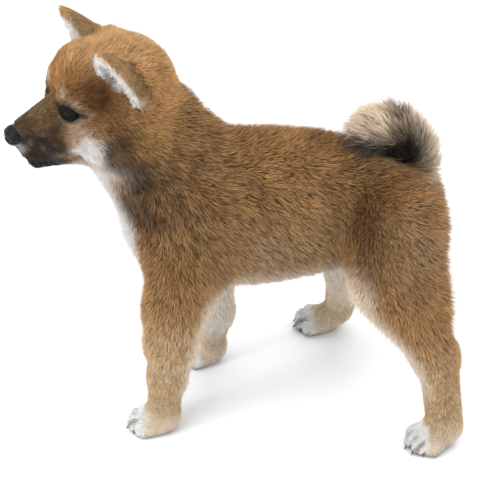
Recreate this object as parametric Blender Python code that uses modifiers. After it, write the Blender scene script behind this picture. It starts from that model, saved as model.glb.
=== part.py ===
"""Shiba inu puppy, about eight weeks old: a still, life-size standing figure.

The figure stands with its nose towards -Y, its left side towards +X and its
back up, +Z, on the plane Z = 0.  All the lengths in the form tables below are
millimetres; the meshes are built in metres.

The outside of every solid is the outline of the coat, out to its tips.  The
body is one blended form: a list of rounded muscles and limbs whose surfaces
run into each other.  It is parted by thin cuts at the neck, the shoulders,
the hips, the wrists and the hocks.
"""
import bpy
import bmesh
import numpy as np
from mathutils import Vector, Matrix

MM = 0.001
GAP = 0.0003                      # clearance between touching pieces, metres

# ---- placing -------------------------------------------------------------
# the form tables are drawn about a plane through the spine; the finished
# figure is shifted so that its box stands centred over the origin
CENTRE_X = -7.415
CENTRE_Y = -0.735

# ---- leading sizes (mm) --------------------------------------------------
HEAD_CENTRE = (12.5, -85.5, 259.5)   # middle of the skull
HEAD_TURN = 18.0                     # degrees, towards the animal's left
EAR_BASE = (31.9, 2.8, 17.2)         # head frame, middle of the ear's opening
EAR_TIP = (35.8, 19.7, 53.2)
EAR_TURN = 28.0                      # degrees the opening turns outwards
EAR_HALF_WIDTH = 11.0                # of the opening, rim to rim
EAR_DEPTH = 17.6                     # from the opening to the ridge of the back
EAR_SWEEP = 105.0                    # half the arc of the cup, degrees
EAR_OUTER, EAR_INNER = 2.3, 1.7      # coat and leather either side of the cup
EYE_RADIUS = 8.2
EYE_AT = (14.4, 29.3, 6.2)           # head frame: left, forward, up
NOSE_AT = (0.0, 66.0, -12.5)
NOSE_RADII = (8.2, 6.4, 7.0)
WRIST_Z = 33.0
HOCK_Z = 60.0
CLAW_LENGTH = 4.6
CLAW_RADIUS = 1.5
TOE_RADIUS = 6.6
TOE_PLACES = ((-9.6, -4.0), (-3.6, -9.5), (3.8, -9.5), (9.8, -4.0))
# each paw: name, place on the ground, turn in degrees about the vertical
PAWS = (("fore_left", (31.0, -64.5), -8.0),
        ("fore_right", (-49.0, -24.5), 8.0),
        ("hind_left", (67.5, 130.0), 28.0),
        ("hind_right", (-82.5, 68.5), -8.0))
TAIL_LINE = ((0, 112, 180), (2, 118, 197), (3, 113.5, 210.5), (4, 104, 219.5),
             (5, 95, 222), (6, 86.5, 220.5))
TAIL_RADII = (17, 17, 16.8, 17, 15.8, 12.5)


# ---- small vector helpers -------------------------------------------------
def vec(*a):
    return np.array(a, float)


def turn_z(degrees):
    t = np.radians(degrees)
    c, s = np.cos(t), np.sin(t)
    return np.array([[c, -s, 0], [s, c, 0], [0, 0, 1.0]])


HEAD_TURNED = turn_z(HEAD_TURN)
# columns: the head's left, forward and up
HEAD_AXES = np.stack([HEAD_TURNED @ vec(1, 0, 0), HEAD_TURNED @ vec(0, -1, 0),
                      HEAD_TURNED @ vec(0, 0, 1)], 1)


def head_point(left, forward, up):
    return vec(*HEAD_CENTRE) + HEAD_AXES @ vec(left, forward, up)


# ---- the form: rounded masses that run into each other ---------------------
def ellipsoid_distance(p, centre, radii, axes):
    q = p - centre
    if axes is not None:
        q = q @ axes
    k0 = np.linalg.norm(q / radii, axis=-1)
    k1 = np.linalg.norm(q / (radii * radii), axis=-1)
    return k0 * (k0 - 1.0) / np.maximum(k1, 1e-9)


def limb_distance(p, a, b, r1, r2):
    """Distance to a round limb that tapers from r1 at a to r2 at b."""
    ba = b - a
    l2 = ba @ ba
    rr = r1 - r2
    a2 = l2 - rr * rr
    il2 = 1.0 / l2
    pa = p - a
    y = pa @ ba
    z = y - l2
    x2 = ((pa * l2 - y[..., None] * ba) ** 2).sum(-1)
    y2 = y * y * l2
    z2 = z * z * l2
    k = np.sign(rr) * rr * rr * x2
    d = (np.sqrt(np.maximum(x2 * a2 * il2, 0)) + y * rr) * il2 - r1
    d = np.where(np.sign(y) * a2 * y2 < k, np.sqrt(x2 + y2) * il2 - r1, d)
    return np.where(np.sign(z) * a2 * z2 > k, np.sqrt(x2 + z2) * il2 - r2, d)


def blend(a, b, k):
    h = np.maximum(k - np.abs(a - b), 0) / k
    return np.minimum(a, b) - h * h * k * 0.25


def make_masses():
    m = []

    def mass(centre, radii, soft, axes=None):
        m.append(("mass", np.array(centre, float), np.array(radii, float), soft, axes))

    def limb(a, b, r1, r2, soft):
        m.append(("limb", np.array(a, float), np.array(b, float), float(r1), float(r2), soft))

    # trunk: rib cage, waist, hips, breast bone, rump
    mass((0, -8, 164.5), (43, 56, 57.5), 1)
    mass((0, 42, 165.6), (40, 62, 55.5), 30)
    mass((0, 98, 169), (37, 38.5, 42), 25)
    mass((0, -47, 157), (32, 33.5, 42), 22)
    limb((0, 106, 164), (0, 118.5, 134), 26, 22, 20)
    # neck
    limb((0, -38, 180), (7, -68, 224), 42, 37, 20)
    limb((3, -54, 184), (8.5, -76, 220), 21, 14, 18)
    limb((0, -18, 186.5), (4, -54, 238), 26.5, 28.3, 18)
    for side in (1, -1):
        limb((side * 20, -34, 186), (8 + side * 17, -66, 226), 24, 21, 16)
        mass((side * 27, -32, 156), (20, 30, 46), 20)
    # near (left) and far (right) forelegs, down to the wrist and the pastern
    limb((34, -40, 140), (33, -48, 104), 24, 20, 18)
    limb((33, -46.5, 106), (32, -50, 76), 20.3, 17.3, 14)
    limb((32, -50, 76), (31, -53, 46), 17.3, 12.2, 12)
    limb((31, -53, 46), (31.5, -57, 16), 12.2, 12, 12)
    limb((-34, -26, 140), (-38, -16, 104), 24, 20, 18)
    limb((-38, -16, 106), (-46, -14, 46), 19, 12.9, 14)
    limb((-46, -14, 46), (-49, -18, 16), 12.9, 12, 12)
    # near (left) and far (right) hind legs: thigh, ham, shank, hock
    limb((24, 102, 158), (37, 100, 124), 36, 29, 20)
    limb((20, 110, 148), (42, 119, 106), 28, 24.2, 16)
    limb((42, 108.3, 116), (56, 131.5, 70), 24, 16, 16)
    limb((57, 134.5, 68), (68, 140.5, 18), 14.3, 13, 10)
    limb((-24, 98, 158), (-42, 86, 120), 36, 27, 20)
    limb((-18, 106, 146), (-40, 96, 110), 27, 21, 16)
    limb((-44, 87, 114), (-60, 86, 66), 24, 14.5, 16)
    limb((-62, 85.5, 61), (-79.5, 84.5, 18), 13.8, 11.2, 10)
    # paws: the heel of the paw and four toes
    for name, (px, py), angle in PAWS:
        turn = turn_z(angle)

        def paw_point(x, y, z):
            return vec(px, py, 0) + turn @ vec(x, y, z)

        heel = 12.4 if name == "hind_left" else 10.8
        limb(paw_point(0, 8, 9.8), paw_point(0, -2, 8.0), heel, 9.9, 8)
        for tx, ty in TOE_PLACES:
            limb(paw_point(tx * 0.75, ty + 9, 7.9), paw_point(tx, ty - 1, 5.8), 6.5, TOE_RADIUS, 3)
    # head
    ax = HEAD_AXES

    def head_mass(left, forward, up, radii, soft):
        mass(head_point(left, forward, up), radii, soft, ax)

    def head_limb(a, b, r1, r2, soft):
        limb(head_point(*a), head_point(*b), r1, r2, soft)

    head_mass(0, -6.5, 7, (40, 38.5, 37.5), 14)
    head_mass(0, 16, 17, (30, 21.5, 24.5), 10)
    for s in (1, -1):
        head_mass(s * 24, 2, -14, (20, 28, 25), 14)               # cheek
        head_mass(s * 14, 28, 12, (11.5, 9, 10), 8)               # brow
        head_mass(s * 27, -9, 24, (12, 13, 15), 9)                # behind the ear
        head_limb((s * 9, 38, -21), (s * 5.5, 56, -21), 11, 8.5, 6)   # upper lip
        head_limb((s * 24, 22, -8), (s * 15, 38, -13), 13, 9.5, 10)   # cheek bone
    head_mass(0, 9.5, -27.5, (23.5, 29, 14.7), 12)                       # back of the jaw
    head_limb((0, 36, -1.6), (0, 62, -11.6), 12.4, 8.4, 8)            # bridge of the nose
    head_limb((0, 24, -31), (0, 51, -32.2), 10, 7.2, 6)               # lower jaw
    head_mass(0, 65.5, -13, (8, 7, 7), 3)                         # muzzle tip
    return m


MASSES = make_masses()
TAIL_MASSES = [("limb", vec(*TAIL_LINE[i]), vec(*TAIL_LINE[i + 1]),
                float(TAIL_RADII[i]), float(TAIL_RADII[i + 1]), 10.0) for i in range(5)]


def form(p, masses):
    """Signed distance (mm) to the blended surface of the masses."""
    d = None
    for m in masses:
        if m[0] == "mass":
            di = ellipsoid_distance(p, m[1], m[2], m[4])
            k = m[3]
        else:
            di = limb_distance(p, m[1], m[2], m[3], m[4])
            k = m[5]
        d = di if d is None else blend(d, di, k)
    return d


def slide_to_form(points, masses, rounds):
    """Move points (mm) along the slope of the form until they lie on it."""
    corners = np.array([[1, -1, -1], [-1, -1, 1], [-1, 1, -1], [1, 1, 1]], float)
    for _ in range(rounds):
        g = sum(c * form(points + c * 0.4, masses)[:, None] for c in corners)
        g /= np.maximum(np.linalg.norm(g, axis=-1, keepdims=True), 1e-9)
        points = points - g * np.clip(form(points, masses), -4, 4)[:, None]
    return points


# ---- building --------------------------------------------------------------
for o in list(bpy.data.objects):
    bpy.data.objects.remove(o, do_unlink=True)

parts = bpy.data.collections.new("shiba_puppy")
tools = bpy.data.collections.new("cutters")
bpy.context.scene.collection.children.link(parts)
bpy.context.scene.collection.children.link(tools)


def material(name, colour, roughness, metallic=0.0):
    m = bpy.data.materials.new(name)
    m.use_nodes = True
    b = m.node_tree.nodes["Principled BSDF"]
    b.inputs["Base Color"].default_value = (*colour, 1.0)
    b.inputs["Roughness"].default_value = roughness
    b.inputs["Metallic"].default_value = metallic
    return m


COAT_TAN = material("coat_tan", (0.30, 0.155, 0.062), 0.85)
COAT_CREAM = material("coat_cream", (0.72, 0.60, 0.46), 0.85)
COAT_CROWN = material("coat_crown", (0.40, 0.215, 0.09), 0.85)
EYE_DARK = material("eye_dark", (0.012, 0.010, 0.012), 0.06)
NOSE_BLACK = material("nose_black", (0.015, 0.015, 0.018), 0.38)


def new_object(name, mesh, collection=parts, mat=None):
    o = bpy.data.objects.new(name, mesh)
    collection.objects.link(o)
    if mat is not None:
        mesh.materials.clear()
        mesh.materials.append(mat)
    return o


def drop(o):
    mesh = o.data
    bpy.data.objects.remove(o, do_unlink=True)
    if mesh.users == 0:
        bpy.data.meshes.remove(mesh)


def bake(o):
    """Replace an object's mesh by its evaluated one and clear its modifiers."""
    dg = bpy.context.evaluated_depsgraph_get()
    mesh = bpy.data.meshes.new_from_object(o.evaluated_get(dg))
    o.modifiers.clear()
    old = o.data
    o.data = mesh
    if old.users == 0:
        bpy.data.meshes.remove(old)
    return o


def shapes_of(masses, name):
    """Balls and tapered limbs standing in one mesh, not yet fused."""
    whole = bmesh.new()

    def add(make, place):
        bm = bmesh.new()
        make(bm)
        for v in bm.verts:
            v.co = Vector(place(np.array(v.co[:])) * MM)
        mesh = bpy.data.meshes.new("shape")
        bm.to_mesh(mesh)
        bm.free()
        whole.from_mesh(mesh)
        bpy.data.meshes.remove(mesh)

    for m in masses:
        if m[0] == "mass":
            rotation = np.eye(3) if m[4] is None else m[4]
            add(lambda bm: bmesh.ops.create_uvsphere(bm, u_segments=28, v_segments=18, radius=1.0),
                lambda q, m=m, rotation=rotation: rotation @ (q * m[2]) + m[1])
        else:
            a, b, r1, r2 = m[1], m[2], m[3], m[4]
            for c, r in ((a, r1), (b, r2)):
                add(lambda bm: bmesh.ops.create_uvsphere(bm, u_segments=20, v_segments=12, radius=1.0),
                    lambda q, c=c, r=r: q * r + c)
            length = np.linalg.norm(b - a)
            spin = np.array(Vector(b - a).to_track_quat("Z", "Y").to_matrix())
            add(lambda bm: bmesh.ops.create_cone(bm, cap_ends=True, cap_tris=False, segments=20,
                                                 radius1=r1, radius2=r2, depth=length),
                lambda q: spin @ q + (a + b) / 2)
    mesh = bpy.data.meshes.new(name)
    whole.to_mesh(mesh)
    whole.free()
    return mesh


def blended_body(name, shapes, masses, voxel_mm):
    """The shapes fused into one closed mesh, then slid onto the blended form."""
    o = new_object(name, shapes.copy(), tools)
    r = o.modifiers.new("fuse", "REMESH")
    r.mode = "VOXEL"
    r.voxel_size = voxel_mm * MM
    r.adaptivity = 0.0
    bake(o)
    bm = bmesh.new()
    bm.from_mesh(o.data)
    for rounds in (10, 4, 4, 6):
        pts = np.array([v.co[:] for v in bm.verts]) / MM
        pts = slide_to_form(pts, masses, rounds)
        for v, q in zip(bm.verts, pts):
            v.co = Vector(q * MM)
        if rounds != 6:
            bmesh.ops.smooth_vert(bm, verts=bm.verts, factor=0.5, use_axis_x=True,
                                  use_axis_y=True, use_axis_z=True)
    bmesh.ops.triangulate(bm, faces=bm.faces)
    bmesh.ops.recalc_face_normals(bm, faces=bm.faces)
    bm.to_mesh(o.data)
    bm.free()
    o.display_type = "WIRE"
    o.hide_render = True
    return o


def skewed_box(name, corners):
    """A box whose eight corners (mm) are given low face first, each face going
    round from (-x, -y) to (+x, -y), (+x, +y), (-x, +y)."""
    bm = bmesh.new()
    bmesh.ops.create_cube(bm, size=2.0)
    order = {(-1, -1, -1): 0, (1, -1, -1): 1, (1, 1, -1): 2, (-1, 1, -1): 3,
             (-1, -1, 1): 4, (1, -1, 1): 5, (1, 1, 1): 6, (-1, 1, 1): 7}
    for v in bm.verts:
        key = tuple(int(round(c)) for c in v.co)
        v.co = Vector(corners[order[key]]) * MM
    bmesh.ops.recalc_face_normals(bm, faces=bm.faces)
    mesh = bpy.data.meshes.new(name)
    bm.to_mesh(mesh)
    bm.free()
    o = new_object(name, mesh, tools)
    o.display_type = "WIRE"
    o.hide_render = True
    return o


def half_space(name, point, normal, reach=400.0):
    """A large box filling the side of a plane that the normal points to (mm)."""
    n = Vector(normal).normalized()
    bm = bmesh.new()
    bmesh.ops.create_cube(bm, size=1.0)
    for v in bm.verts:
        v.co = Vector((v.co.x * reach * 2, v.co.y * reach * 2, (v.co.z + 0.5) * reach)) * MM
    rot = n.to_track_quat("Z", "Y").to_matrix().to_4x4()
    bmesh.ops.transform(bm, matrix=Matrix.Translation(Vector(point) * MM) @ rot, verts=bm.verts)
    mesh = bpy.data.meshes.new(name)
    bm.to_mesh(mesh)
    bm.free()
    o = new_object(name, mesh, tools)
    o.display_type = "WIRE"
    o.hide_render = True
    return o


def boolean(o, cutter, operation):
    m = o.modifiers.new("cut", "BOOLEAN")
    m.operation = operation
    m.object = cutter
    m.solver = "EXACT"
    return o


def copy_of(o, name, collection=tools):
    c = new_object(name, o.data.copy(), collection)
    return c


def keep_largest(o):
    """Only the main body stays when a cut leaves a crumb."""
    bm = bmesh.new()
    bm.from_mesh(o.data)
    seen, groups = set(), []
    for v in bm.verts:
        if v in seen:
            continue
        stack, group = [v], []
        seen.add(v)
        while stack:
            w = stack.pop()
            group.append(w)
            for e in w.link_edges:
                x = e.other_vert(w)
                if x not in seen:
                    seen.add(x)
                    stack.append(x)
        groups.append(group)
    groups.sort(key=len, reverse=True)
    crumbs = [v for g in groups[1:] for v in g]
    if crumbs:
        bmesh.ops.delete(bm, geom=crumbs, context="VERTS")
    bmesh.ops.dissolve_degenerate(bm, dist=0.00002, edges=bm.edges)
    bmesh.ops.triangulate(bm, faces=bm.faces)
    bm.to_mesh(o.data)
    bm.free()
    return o


def piece(name, source, mat, keep=(), remove=()):
    """A part of the body: the source within each keep shape, less each remove."""
    o = new_object(name, source.data.copy(), parts)
    for c in keep:
        boolean(o, c, "INTERSECT")
    for c in remove:
        boolean(o, c, "DIFFERENCE")
    bake(o)
    keep_largest(o)
    o.data.materials.clear()
    o.data.materials.append(mat)
    o.data.shade_smooth()
    o.data.set_sharp_from_angle(angle=np.radians(40.0))
    return o


g = GAP / MM / 2.0                 # half the clearance, mm

# ---- the planes that part the body (mm) --------------------------------------
hp = head_point(0, -38, 10)
hn = HEAD_AXES @ vec(0, 0.788, 0.616)
npt, nn = vec(0, -8, 228), vec(0, -0.652, 0.758)
head_side = half_space("head_side", hp + hn * g, hn)
head_away = half_space("head_away", hp - hn * g, -hn)
neck_side = half_space("neck_side", npt + nn * g, nn)
neck_away = half_space("neck_away", npt - nn * g, -nn)


def leg_wedge(name, side, y0, y1, z_in, z_out, grow):
    """The wedge that parts a leg from the trunk, wider by grow on every face:
    its top slopes up from z_in near the middle to z_out at 60 mm out."""
    slope = (z_out - z_in) / 60.0
    x0, x1 = 1.0 - grow, 150.0
    y0, y1 = y0 - grow, y1 + grow
    zi, zo = z_in + slope * x0 + grow * 1.3, z_in + slope * x1 + grow * 1.3
    zb = 0.0 if grow == 0.0 else -8.0
    if side > 0:
        c = [(x0, y0, zb), (x1, y0, zb), (x1, y1, zb), (x0, y1, zb),
             (x0, y0, zi), (x1, y0, zo), (x1, y1, zo), (x0, y1, zi)]
    else:
        c = [(-x1, y0, zb), (-x0, y0, zb), (-x0, y1, zb), (-x1, y1, zb),
             (-x1, y0, zo), (-x0, y0, zi), (-x0, y1, zi), (-x1, y1, zo)]
    return skewed_box(name, c)


WEDGES = {"fore_left": (1, -98.0, -13.0, 103.0, 160.0),
          "fore_right": (-1, -66.0, 12.0, 103.0, 160.0),
          "hind_left": (1, 60.0, 175.0, 112.0, 176.0),
          "hind_right": (-1, 44.0, 165.0, 112.0, 176.0)}
wedge_in = {k: leg_wedge("wedge_" + k, *v, 0.0) for k, v in WEDGES.items()}
wedge_out = {k: leg_wedge("wedge_gap_" + k, *v, GAP / MM) for k, v in WEDGES.items()}
PARTING = {"fore_left": WRIST_Z, "fore_right": WRIST_Z, "hind_left": HOCK_Z, "hind_right": HOCK_Z}

# ---- the body at the fineness each part needs ---------------------------------
body_shapes = shapes_of(MASSES, "body_shapes")
tail_shapes = shapes_of(TAIL_MASSES, "tail_shapes")
body_coarse = blended_body("body_coarse", body_shapes, MASSES, 13.0)
body_mid = blended_body("body_mid", body_shapes, MASSES, 9.8)
body_head = blended_body("body_head", body_shapes, MASSES, 7.4)
body_fine = blended_body("body_fine", body_shapes, MASSES, 5.8)

trunk = piece("trunk", body_coarse, COAT_TAN, keep=(neck_away,), remove=tuple(wedge_out.values()))
neck = piece("neck", body_mid, COAT_TAN, keep=(neck_side, head_away))
for key in WEDGES:
    z = PARTING[key]
    above = half_space("above_" + key, (0, 0, z + g), (0, 0, 1))
    below = half_space("below_" + key, (0, 0, z - g), (0, 0, -1))
    leg_name = key.replace("fore", "foreleg").replace("hind", "hindleg")
    paw_name = key.replace("fore", "forepaw").replace("hind", "hindpaw")
    piece(leg_name, body_mid, COAT_TAN, keep=(wedge_in[key], above))
    paw = piece(paw_name, body_fine, COAT_CREAM, keep=(wedge_in[key], below))
    # a claw grows from the tip of each toe
    (cx, cy), angle = {n: (xy, a) for n, xy, a in PAWS}[key]
    turn = turn_z(angle)
    for i, (tx, ty) in enumerate(TOE_PLACES):
        bm = bmesh.new()
        bmesh.ops.create_cone(bm, cap_ends=True, cap_tris=False, segments=6,
                              radius1=CLAW_RADIUS, radius2=0.45, depth=CLAW_LENGTH)
        tip = vec(cx, cy, 0) + turn @ vec(tx * 1.04, ty - 1 - TOE_RADIUS + 1.0, 3.4)
        out = turn @ vec(tx * 0.02, -0.90, -0.42)
        rot = Vector(out).normalized().to_track_quat("Z", "Y").to_matrix().to_4x4()
        bmesh.ops.scale(bm, vec=Vector((MM, MM, MM)), verts=bm.verts)
        bmesh.ops.transform(bm, matrix=Matrix.Translation(Vector(tip) * MM) @ rot, verts=bm.verts)
        cm = bpy.data.meshes.new("claw_%s_%d" % (key, i))
        bm.to_mesh(cm)
        bm.free()
        claw = new_object("claw_%s_%d" % (key, i), cm, tools)
        claw.display_type = "WIRE"
        claw.hide_render = True
        boolean(paw, claw, "UNION")
    bake(paw)
    keep_largest(paw)
    paw.data.materials.clear()
    paw.data.materials.append(COAT_CREAM)


def ball(name, centre, radii, segments, rings, axes, collection, mat=None):
    bm = bmesh.new()
    bmesh.ops.create_uvsphere(bm, u_segments=segments, v_segments=rings, radius=1.0)
    for v in bm.verts:
        # the head's axes are left-handed, so two of the ball's are exchanged
        v.co = Vector((axes @ (np.array([v.co.x, v.co.z, v.co.y]) * np.array(radii)) + centre) * MM)
    mesh = bpy.data.meshes.new(name)
    bm.to_mesh(mesh)
    bm.free()
    mesh.shade_smooth()
    o = new_object(name, mesh, collection, mat)
    if collection is tools:
        o.display_type = "WIRE"
        o.hide_render = True
    return o


# ---- eyes and nose, each in its own recess --------------------------------------
recesses = []
for side, tag in ((1, "left"), (-1, "right")):
    c = head_point(side * EYE_AT[0], EYE_AT[1], EYE_AT[2])
    r = EYE_RADIUS
    ball("eye_" + tag, c, (r, r, r), 16, 12, HEAD_AXES, parts, EYE_DARK)
    r += GAP / MM + 0.25
    recesses.append(ball("socket_" + tag, c, (r, r, r), 16, 12, HEAD_AXES, tools))
    # the coat is open over the eye, wider than high
    bm = bmesh.new()
    bmesh.ops.create_cone(bm, cap_ends=True, cap_tris=False, segments=14,
                          radius1=6.6, radius2=9.6, depth=16.0)
    gaze = Vector(HEAD_AXES @ vec(side * 0.66, 0.74, 0.08)).normalized()
    rot = gaze.to_track_quat("Z", "Y").to_matrix().to_4x4()
    bmesh.ops.scale(bm, vec=Vector((MM, 0.74 * MM, MM)), verts=bm.verts)
    bmesh.ops.transform(bm, matrix=Matrix.Translation(Vector(c) * MM + gaze * 11.0 * MM) @ rot,
                        verts=bm.verts)
    lm = bpy.data.meshes.new("lids_" + tag)
    bm.to_mesh(lm)
    bm.free()
    lids = new_object("lids_" + tag, lm, tools)
    lids.display_type = "WIRE"
    lids.hide_render = True
    recesses.append(lids)
nc = head_point(*NOSE_AT)
ball("nose", nc, NOSE_RADII, 16, 10, HEAD_AXES, parts, NOSE_BLACK)
recesses.append(ball("nose_recess", nc, tuple(r + GAP / MM + 0.2 for r in NOSE_RADII), 16, 10,
                     HEAD_AXES, tools))
head = piece("head", body_head, COAT_CROWN, keep=(head_side,), remove=tuple(recesses))


# ---- ears: cupped leaves of even thickness, cut clear of the head ----------------
def inflated(source, name, by_mm):
    o = copy_of(source, name)
    m = o.modifiers.new("grow", "DISPLACE")
    m.mid_level = 0.0
    m.strength = by_mm * MM
    bake(o)
    o.display_type = "WIRE"
    o.hide_render = True
    return o


head_grown = inflated(body_head, "head_grown", 0.45)


def ear_frame(side):
    """Middle of the opening, and the ear's across (towards its outer rim),
    back and up directions, with its height."""
    base, tip = vec(*EAR_BASE), vec(*EAR_TIP)
    up = (tip - base) / np.linalg.norm(tip - base)
    e1 = vec(1, 0, 0) - up[0] * up
    e1 /= np.linalg.norm(e1)
    e2 = vec(0, 1, 0) - up[1] * up
    e2 -= (e2 @ e1) * e1
    e2 /= np.linalg.norm(e2)
    t = np.radians(EAR_TURN)
    across = np.cos(t) * e1 - np.sin(t) * e2
    opening = np.cos(t) * e2 + np.sin(t) * e1
    mirror = vec(side, 1, 1)
    return (head_point(*(base * mirror)), HEAD_AXES @ (across * mirror),
            HEAD_AXES @ (-opening * mirror), HEAD_AXES @ (up * mirror), np.linalg.norm(tip - base))


def ear_section(t):
    """Half axes of the cup's arc at the height t, 0 at the base, 1 at the tip."""
    t = min(max(t, 0.0), 1.0)
    sweep = np.radians(EAR_SWEEP)
    half = EAR_HALF_WIDTH * (1.0 - t) ** 0.62 + 0.6
    deep = EAR_DEPTH * (1.0 - t ** 1.6) ** 0.9 + 0.6
    return half / np.sin(sweep), deep / (1.0 - np.cos(sweep)), sweep


for side, tag in ((1, "left"), (-1, "right")):
    mid, across, back, upward, height = ear_frame(side)
    bm = bmesh.new()
    cols, rows = 11, 9
    grid = {}
    for face in (1, -1):
        for j in range(rows):
            t = -0.30 + 1.28 * j / (rows - 1)
            ea, eb, sweep = ear_section(t)
            thick = EAR_OUTER if face > 0 else min(EAR_INNER, 0.62 * min(ea, eb))
            thick *= 1.0 - 0.35 * max(t, 0.0)
            for i in range(cols):
                f = sweep * (-1.0 + 2.0 * i / (cols - 1))
                n = vec(np.sin(f) / ea, np.cos(f) / eb)
                n /= np.linalg.norm(n)
                x = ea * np.sin(f) + face * thick * n[0]
                y = eb * (np.cos(f) - np.cos(sweep)) + face * thick * n[1]
                grid[face, j, i] = bm.verts.new(Vector((mid + across * x + back * y
                                                        + upward * (t * height)) * MM))
    for face in (1, -1):
        for j in range(rows - 1):
            for i in range(cols - 1):
                bm.faces.new((grid[face, j, i], grid[face, j, i + 1],
                              grid[face, j + 1, i + 1], grid[face, j + 1, i]))
    for j in range(rows - 1):
        for i in (0, cols - 1):
            bm.faces.new((grid[1, j, i], grid[1, j + 1, i], grid[-1, j + 1, i], grid[-1, j, i]))
    for i in range(cols - 1):
        for j in (0, rows - 1):
            bm.faces.new((grid[1, j, i], grid[1, j, i + 1], grid[-1, j, i + 1], grid[-1, j, i]))
    bmesh.ops.recalc_face_normals(bm, faces=bm.faces)
    bmesh.ops.triangulate(bm, faces=bm.faces)
    mesh = bpy.data.meshes.new("ear_" + tag)
    bm.to_mesh(mesh)
    bm.free()
    ear = new_object("ear_" + tag, mesh, parts, COAT_CROWN)
    boolean(ear, head_grown, "DIFFERENCE")
    bake(ear)
    keep_largest(ear)
    ear.data.shade_smooth()
    ear.data.set_sharp_from_angle(angle=np.radians(50.0))

# ---- tail: a thick curl that rests on the back ------------------------------------
body_grown = inflated(body_coarse, "body_grown", 0.6)
tail_body = blended_body("tail_body", tail_shapes, TAIL_MASSES, 7.0)
tail = piece("tail", tail_body, COAT_CREAM, remove=(body_grown,))

# ---- stand the figure over the origin ----------------------------------------------
shift = Matrix.Translation(Vector((-CENTRE_X, -CENTRE_Y, 0)) * MM)
for o in list(parts.objects):
    o.data.transform(shift)
    o.data.update()
for o in list(tools.objects):
    drop(o)
bpy.data.collections.remove(tools)

if __name__ == "__main__":
    lo = np.full(3, 1e9)
    hi = -lo
    for o in parts.objects:
        co = np.array([v.co[:] for v in o.data.vertices])
        lo, hi = np.minimum(lo, co.min(0)), np.maximum(hi, co.max(0))
        print(o.name, len(o.data.polygons), (co.min(0) * 1000).round(1), (co.max(0) * 1000).round(1))
    print("box", (lo * 1000).round(2), (hi * 1000).round(2))
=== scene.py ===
"""Shiba inu puppy: one skin over the whole animal, its coat of tufts, eyes,
nose, claws and whiskers, on a plain pale floor in soft studio light."""
import bpy
import bmesh
import numpy as np
from mathutils import Vector, Matrix, kdtree


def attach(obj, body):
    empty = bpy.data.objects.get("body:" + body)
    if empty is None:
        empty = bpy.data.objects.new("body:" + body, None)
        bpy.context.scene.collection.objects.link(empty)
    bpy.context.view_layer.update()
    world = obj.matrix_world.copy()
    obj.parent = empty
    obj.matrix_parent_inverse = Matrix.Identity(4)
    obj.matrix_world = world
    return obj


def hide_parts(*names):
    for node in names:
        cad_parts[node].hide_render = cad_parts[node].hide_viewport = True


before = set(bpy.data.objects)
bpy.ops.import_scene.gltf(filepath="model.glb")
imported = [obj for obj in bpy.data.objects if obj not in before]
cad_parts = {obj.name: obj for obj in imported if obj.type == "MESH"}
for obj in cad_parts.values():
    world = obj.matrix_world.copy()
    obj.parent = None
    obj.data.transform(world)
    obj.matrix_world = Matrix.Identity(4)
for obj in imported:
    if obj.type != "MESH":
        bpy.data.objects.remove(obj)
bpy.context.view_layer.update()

rng = np.random.default_rng(8)

# ---------------------------------------------------------------- sizes (mm)
MM = 0.001
SHIFT = np.array([7.415, 0.735, 0.0])    # form tables to the figure's place
HEAD_CENTRE = (12.5, -85.5, 259.5)
HEAD_TURN = 18.0
EAR_BASE = (31.9, 2.8, 17.2)
EAR_TIP = (35.8, 19.7, 53.2)
EAR_TURN = 28.0
EAR_HALF_WIDTH = 11.0
EAR_DEPTH = 17.6
EAR_SWEEP = 105.0
EYE_RADIUS = 8.2
EYE_AT = (14.4, 29.3, 6.2)
NOSE_AT = (0.0, 66.0, -12.5)
NOSE_RADII = (8.2, 6.4, 7.0)
TOE_RADIUS = 6.6
TOE_PLACES = ((-9.6, -4.0), (-3.6, -9.5), (3.8, -9.5), (9.8, -4.0))
PAWS = (("fore_left", (31.0, -64.5), -8.0),
        ("fore_right", (-49.0, -24.5), 8.0),
        ("hind_left", (67.5, 130.0), 28.0),
        ("hind_right", (-82.5, 68.5), -8.0))
TAIL_LINE = ((0, 112, 180), (2, 118, 197), (3, 113.5, 210.5), (4, 104, 219.5),
             (5, 95, 222), (6, 86.5, 220.5))
TAIL_RADII = (17, 17, 16.8, 17, 15.8, 12.5)


def vec(*a):
    return np.array(a, float)


def unit(a):
    a = np.asarray(a, float)
    return a / np.maximum(np.linalg.norm(a, axis=-1, keepdims=True), 1e-9)


def turn_z(degrees):
    t = np.radians(degrees)
    c, s = np.cos(t), np.sin(t)
    return np.array([[c, -s, 0], [s, c, 0], [0, 0, 1.0]])


HEAD_TURNED = turn_z(HEAD_TURN)
HEAD_AXES = np.stack([HEAD_TURNED @ vec(1, 0, 0), HEAD_TURNED @ vec(0, -1, 0),
                      HEAD_TURNED @ vec(0, 0, 1)], 1)
HC = vec(*HEAD_CENTRE)


def head_point(left, forward, up):
    return HC + HEAD_AXES @ vec(left, forward, up)


def head_dir(left, forward, up):
    return HEAD_AXES @ vec(left, forward, up)


# ------------------------------------------------------------- the body's form
def ellipsoid_distance(p, centre, radii, axes):
    q = p - centre
    if axes is not None:
        q = q @ axes
    k0 = np.sqrt(((q / radii) ** 2).sum(-1))
    k1 = np.sqrt(((q / (radii * radii)) ** 2).sum(-1))
    return k0 * (k0 - 1.0) / np.maximum(k1, 1e-9)


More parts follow.
